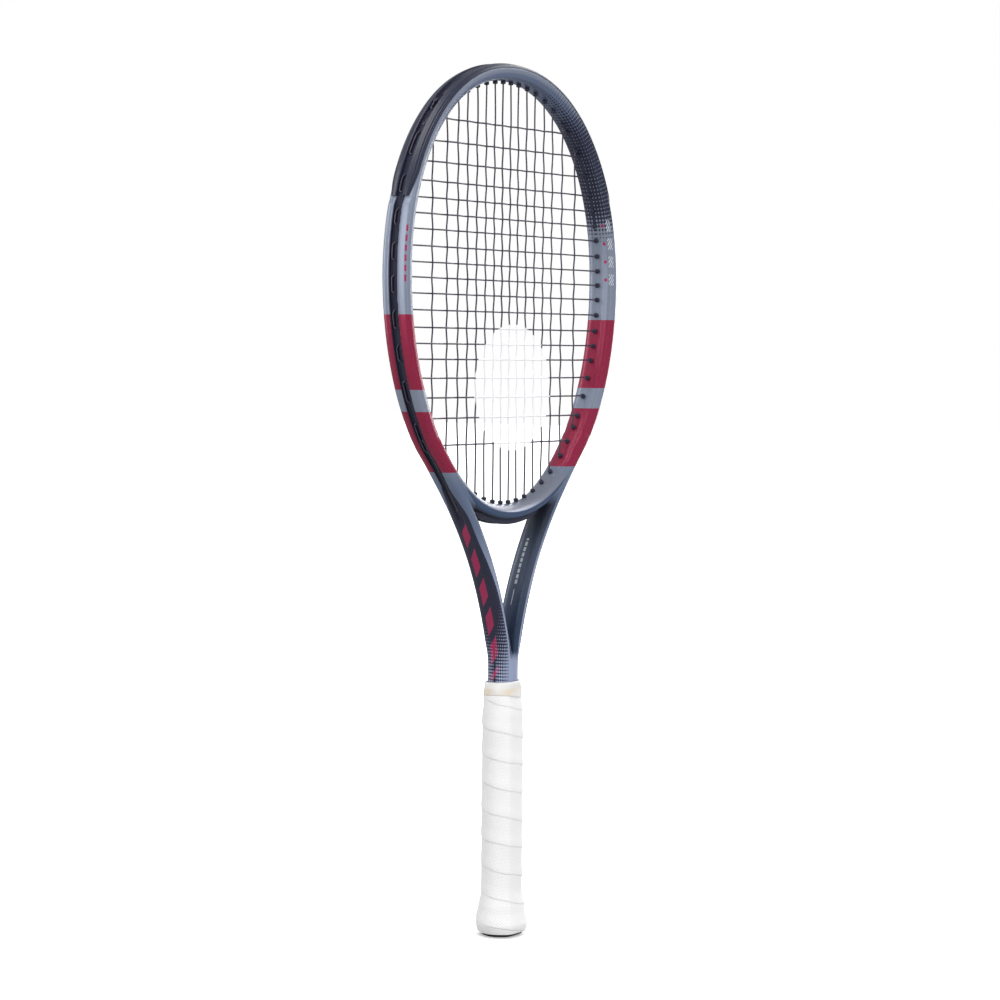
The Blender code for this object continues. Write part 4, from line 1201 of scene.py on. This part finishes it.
def floor_finish():
    """Pale floor that fades to white with distance; the racket itself gets less light back from it."""
    f = Finish("pale_floor", Roughness=0.9)
    pale = f.mix(f.noise(3.0), (0.88, 0.88, 0.88), (0.9, 0.9, 0.9))
    f.shade("Emission Strength", f.math("ADD", f.step(f.apart(f.x, f.y), 0.15, 1.1), 0.3))
    seen = f.tree.nodes.new("ShaderNodeLightPath").outputs["Is Camera Ray"]
    f.shade("Base Color", f.mix(seen, (0.3, 0.3, 0.3), pale))
    f.shade("Emission Color", f.mix(seen, (0.0, 0.0, 0.0), pale))
    return f.material


# ---- camera, light and floor --------------------------------------------------------------------
VIEW_YAW = math.radians(53.0)       # the camera stands to the front left of the racket
VIEW_PITCH = math.radians(3.306)
VIEW_ROLL = math.radians(0.399)
VIEW_DISTANCE = 1950.09 * MM
VIEW_TARGET = Vector((-5.43 * MM, 0.0, 345.72 * MM))
SENSOR_WIDTH = 36.0
FOCAL_LENGTH = 89.29
FLOOR_GAP = 0.2 * MM


def camera():
    data = bpy.data.cameras.new("camera")
    data.sensor_width = SENSOR_WIDTH
    data.lens = FOCAL_LENGTH
    data.clip_start = 0.05
    data.clip_end = 60.0
    thing = bpy.data.objects.new("camera", data)
    bpy.context.scene.collection.objects.link(thing)
    level = Vector((math.sin(VIEW_YAW), math.cos(VIEW_YAW), 0.0))
    ahead = level * math.cos(VIEW_PITCH) - Vector((0.0, 0.0, math.sin(VIEW_PITCH)))
    right = Vector((math.cos(VIEW_YAW), -math.sin(VIEW_YAW), 0.0))
    up = right.cross(ahead)
    c, s = math.cos(VIEW_ROLL), math.sin(VIEW_ROLL)
    axes = (c * right + s * up, -s * right + c * up, -ahead)
    turn = Matrix(axes).transposed().to_4x4()
    thing.matrix_world = Matrix.Translation(VIEW_TARGET - ahead * VIEW_DISTANCE) @ turn
    bpy.context.scene.camera = thing


def soft_light(name, place, size, power, mirrored=True):
    """Softbox aimed at the racket; one that isn't mirrored only lifts the shadows."""
    data = bpy.data.lights.new(name, "AREA")
    data.shape = "RECTANGLE"
    data.size, data.size_y = size
    data.energy = power
    thing = bpy.data.objects.new(name, data)
    bpy.context.scene.collection.objects.link(thing)
    thing.location = place
    thing.rotation_euler = (VIEW_TARGET - Vector(place)).to_track_quat("-Z", "Y").to_euler()
    thing.visible_camera = False
    thing.visible_glossy = mirrored


def studio_world():
    """White for the camera; for the racket, an even dim room between the softboxes."""
    world = bpy.data.worlds.new("studio")
    bpy.context.scene.world = world
    world.use_nodes = True
    nodes, links = world.node_tree.nodes, world.node_tree.links
    backdrop = nodes["Background"]
    backdrop.inputs["Color"].default_value = (1.0, 1.0, 1.0, 1.0)
    room = nodes.new("ShaderNodeBackground")
    room.inputs["Color"].default_value = (0.93, 0.96, 1.0, 1.0)
    room.inputs["Strength"].default_value = 0.45
    choice = nodes.new("ShaderNodeMixShader")
    links.new(nodes.new("ShaderNodeLightPath").outputs["Is Camera Ray"], choice.inputs[0])
    links.new(room.outputs[0], choice.inputs[1])
    links.new(backdrop.outputs[0], choice.inputs[2])
    links.new(choice.outputs[0], nodes["World Output"].inputs["Surface"])


def lights():
    soft_light("left_box", (-2.5, 0.2, 0.9), (1.5, 2.0), 24.0)
    soft_light("right_box", (2.5, 0.5, 0.9), (1.6, 2.4), 50.0)
    soft_light("strip_box", (-0.8, 2.5, 0.9), (0.5, 2.0), 12.0)
    soft_light("top_box", (-1.0, 0.3, 2.7), (1.4, 1.4), 20.0)
    soft_light("high_box", (1.9, -0.6, 2.1), (1.2, 1.0), 16.0)
    soft_light("front_fill", (-0.35, -2.6, 1.0), (1.4, 1.6), 46.0, mirrored=False)
    studio_world()
    bpy.context.scene.view_settings.view_transform = "Standard"


def floor():
    shape = bmesh.new()
    bmesh.ops.create_grid(shape, x_segments=2, y_segments=2, size=12.0)
    thing = bpy.data.objects.new("floor", mesh_from(shape, "floor"))
    bpy.context.scene.collection.objects.link(thing)
    thing.location.z = CAD_BOX[0].z - FLOOR_GAP
    thing.data.materials.append(floor_finish())


# ---- assembly -----------------------------------------------------------------------------------
def keep_hidden_nodes():
    """The pieces inside the handle keep their CAD solids, with better materials."""
    foam = pallet_foam()
    steel = dull_metal("staple_wire", linear(170, 170, 176))
    lead = dull_metal("weight_metal", linear(112, 114, 120))
    paints = {"pallet_front": foam, "pallet_back": foam, "staple_left": steel, "staple_right": steel,
              "balance_weight": lead}
    for node, paint in paints.items():
        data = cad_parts[node].data
        data.materials.clear()
        data.materials.append(paint)


def build():
    paint = painted_carbon()
    guard_black = moulded_nylon("guard_nylon", linear(33, 36, 54), 1200.0)
    black = moulded_nylon("black_nylon", linear(32, 34, 52), 1600.0)
    cap_black = moulded_nylon("cap_nylon", linear(26, 27, 31), 900.0)
    filament = string_finish()
    main_line = laced(MAINS, crossings_of_main, -LANE, CROSSES[1][1], CROSSES[1][2])
    cross_line = laced(CROSSES, crossings_of_cross, LANE, MAINS[1][1], MAINS[-2][2])
    pieces = [
        (frame_shell(paint), "frame", "painted_carbon"),
        (bumper_guard(guard_black), "bumper_guard", "black_nylon"),
        (side_strip("side_strip_left", -1, black), "grommet_strip_left", "black_nylon"),
        (side_strip("side_strip_right", 1, black), "grommet_strip_right", "black_nylon"),
        (throat_strip(black), "grommet_strip_throat", "black_nylon"),
        (string_curve("woven_mains", main_line, filament), "main_string", "string"),
        (string_curve("woven_crosses", cross_line, filament), "cross_string", "string"),
        (grip_wrap(wrap_finish()), "grip_wrap", "white_wrap"),
        (finishing_tape(tape_finish()), "finishing_tape", "white_tape"),
        (butt_cap(cap_black), "butt_cap", "black_nylon"),
        (butt_plug(cap_black), "butt_plug", "black_nylon"),
    ]
    for piece, node, slot in pieces:
        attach(piece, "root")
        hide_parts(node)


build()
keep_hidden_nodes()
floor()
lights()
camera()
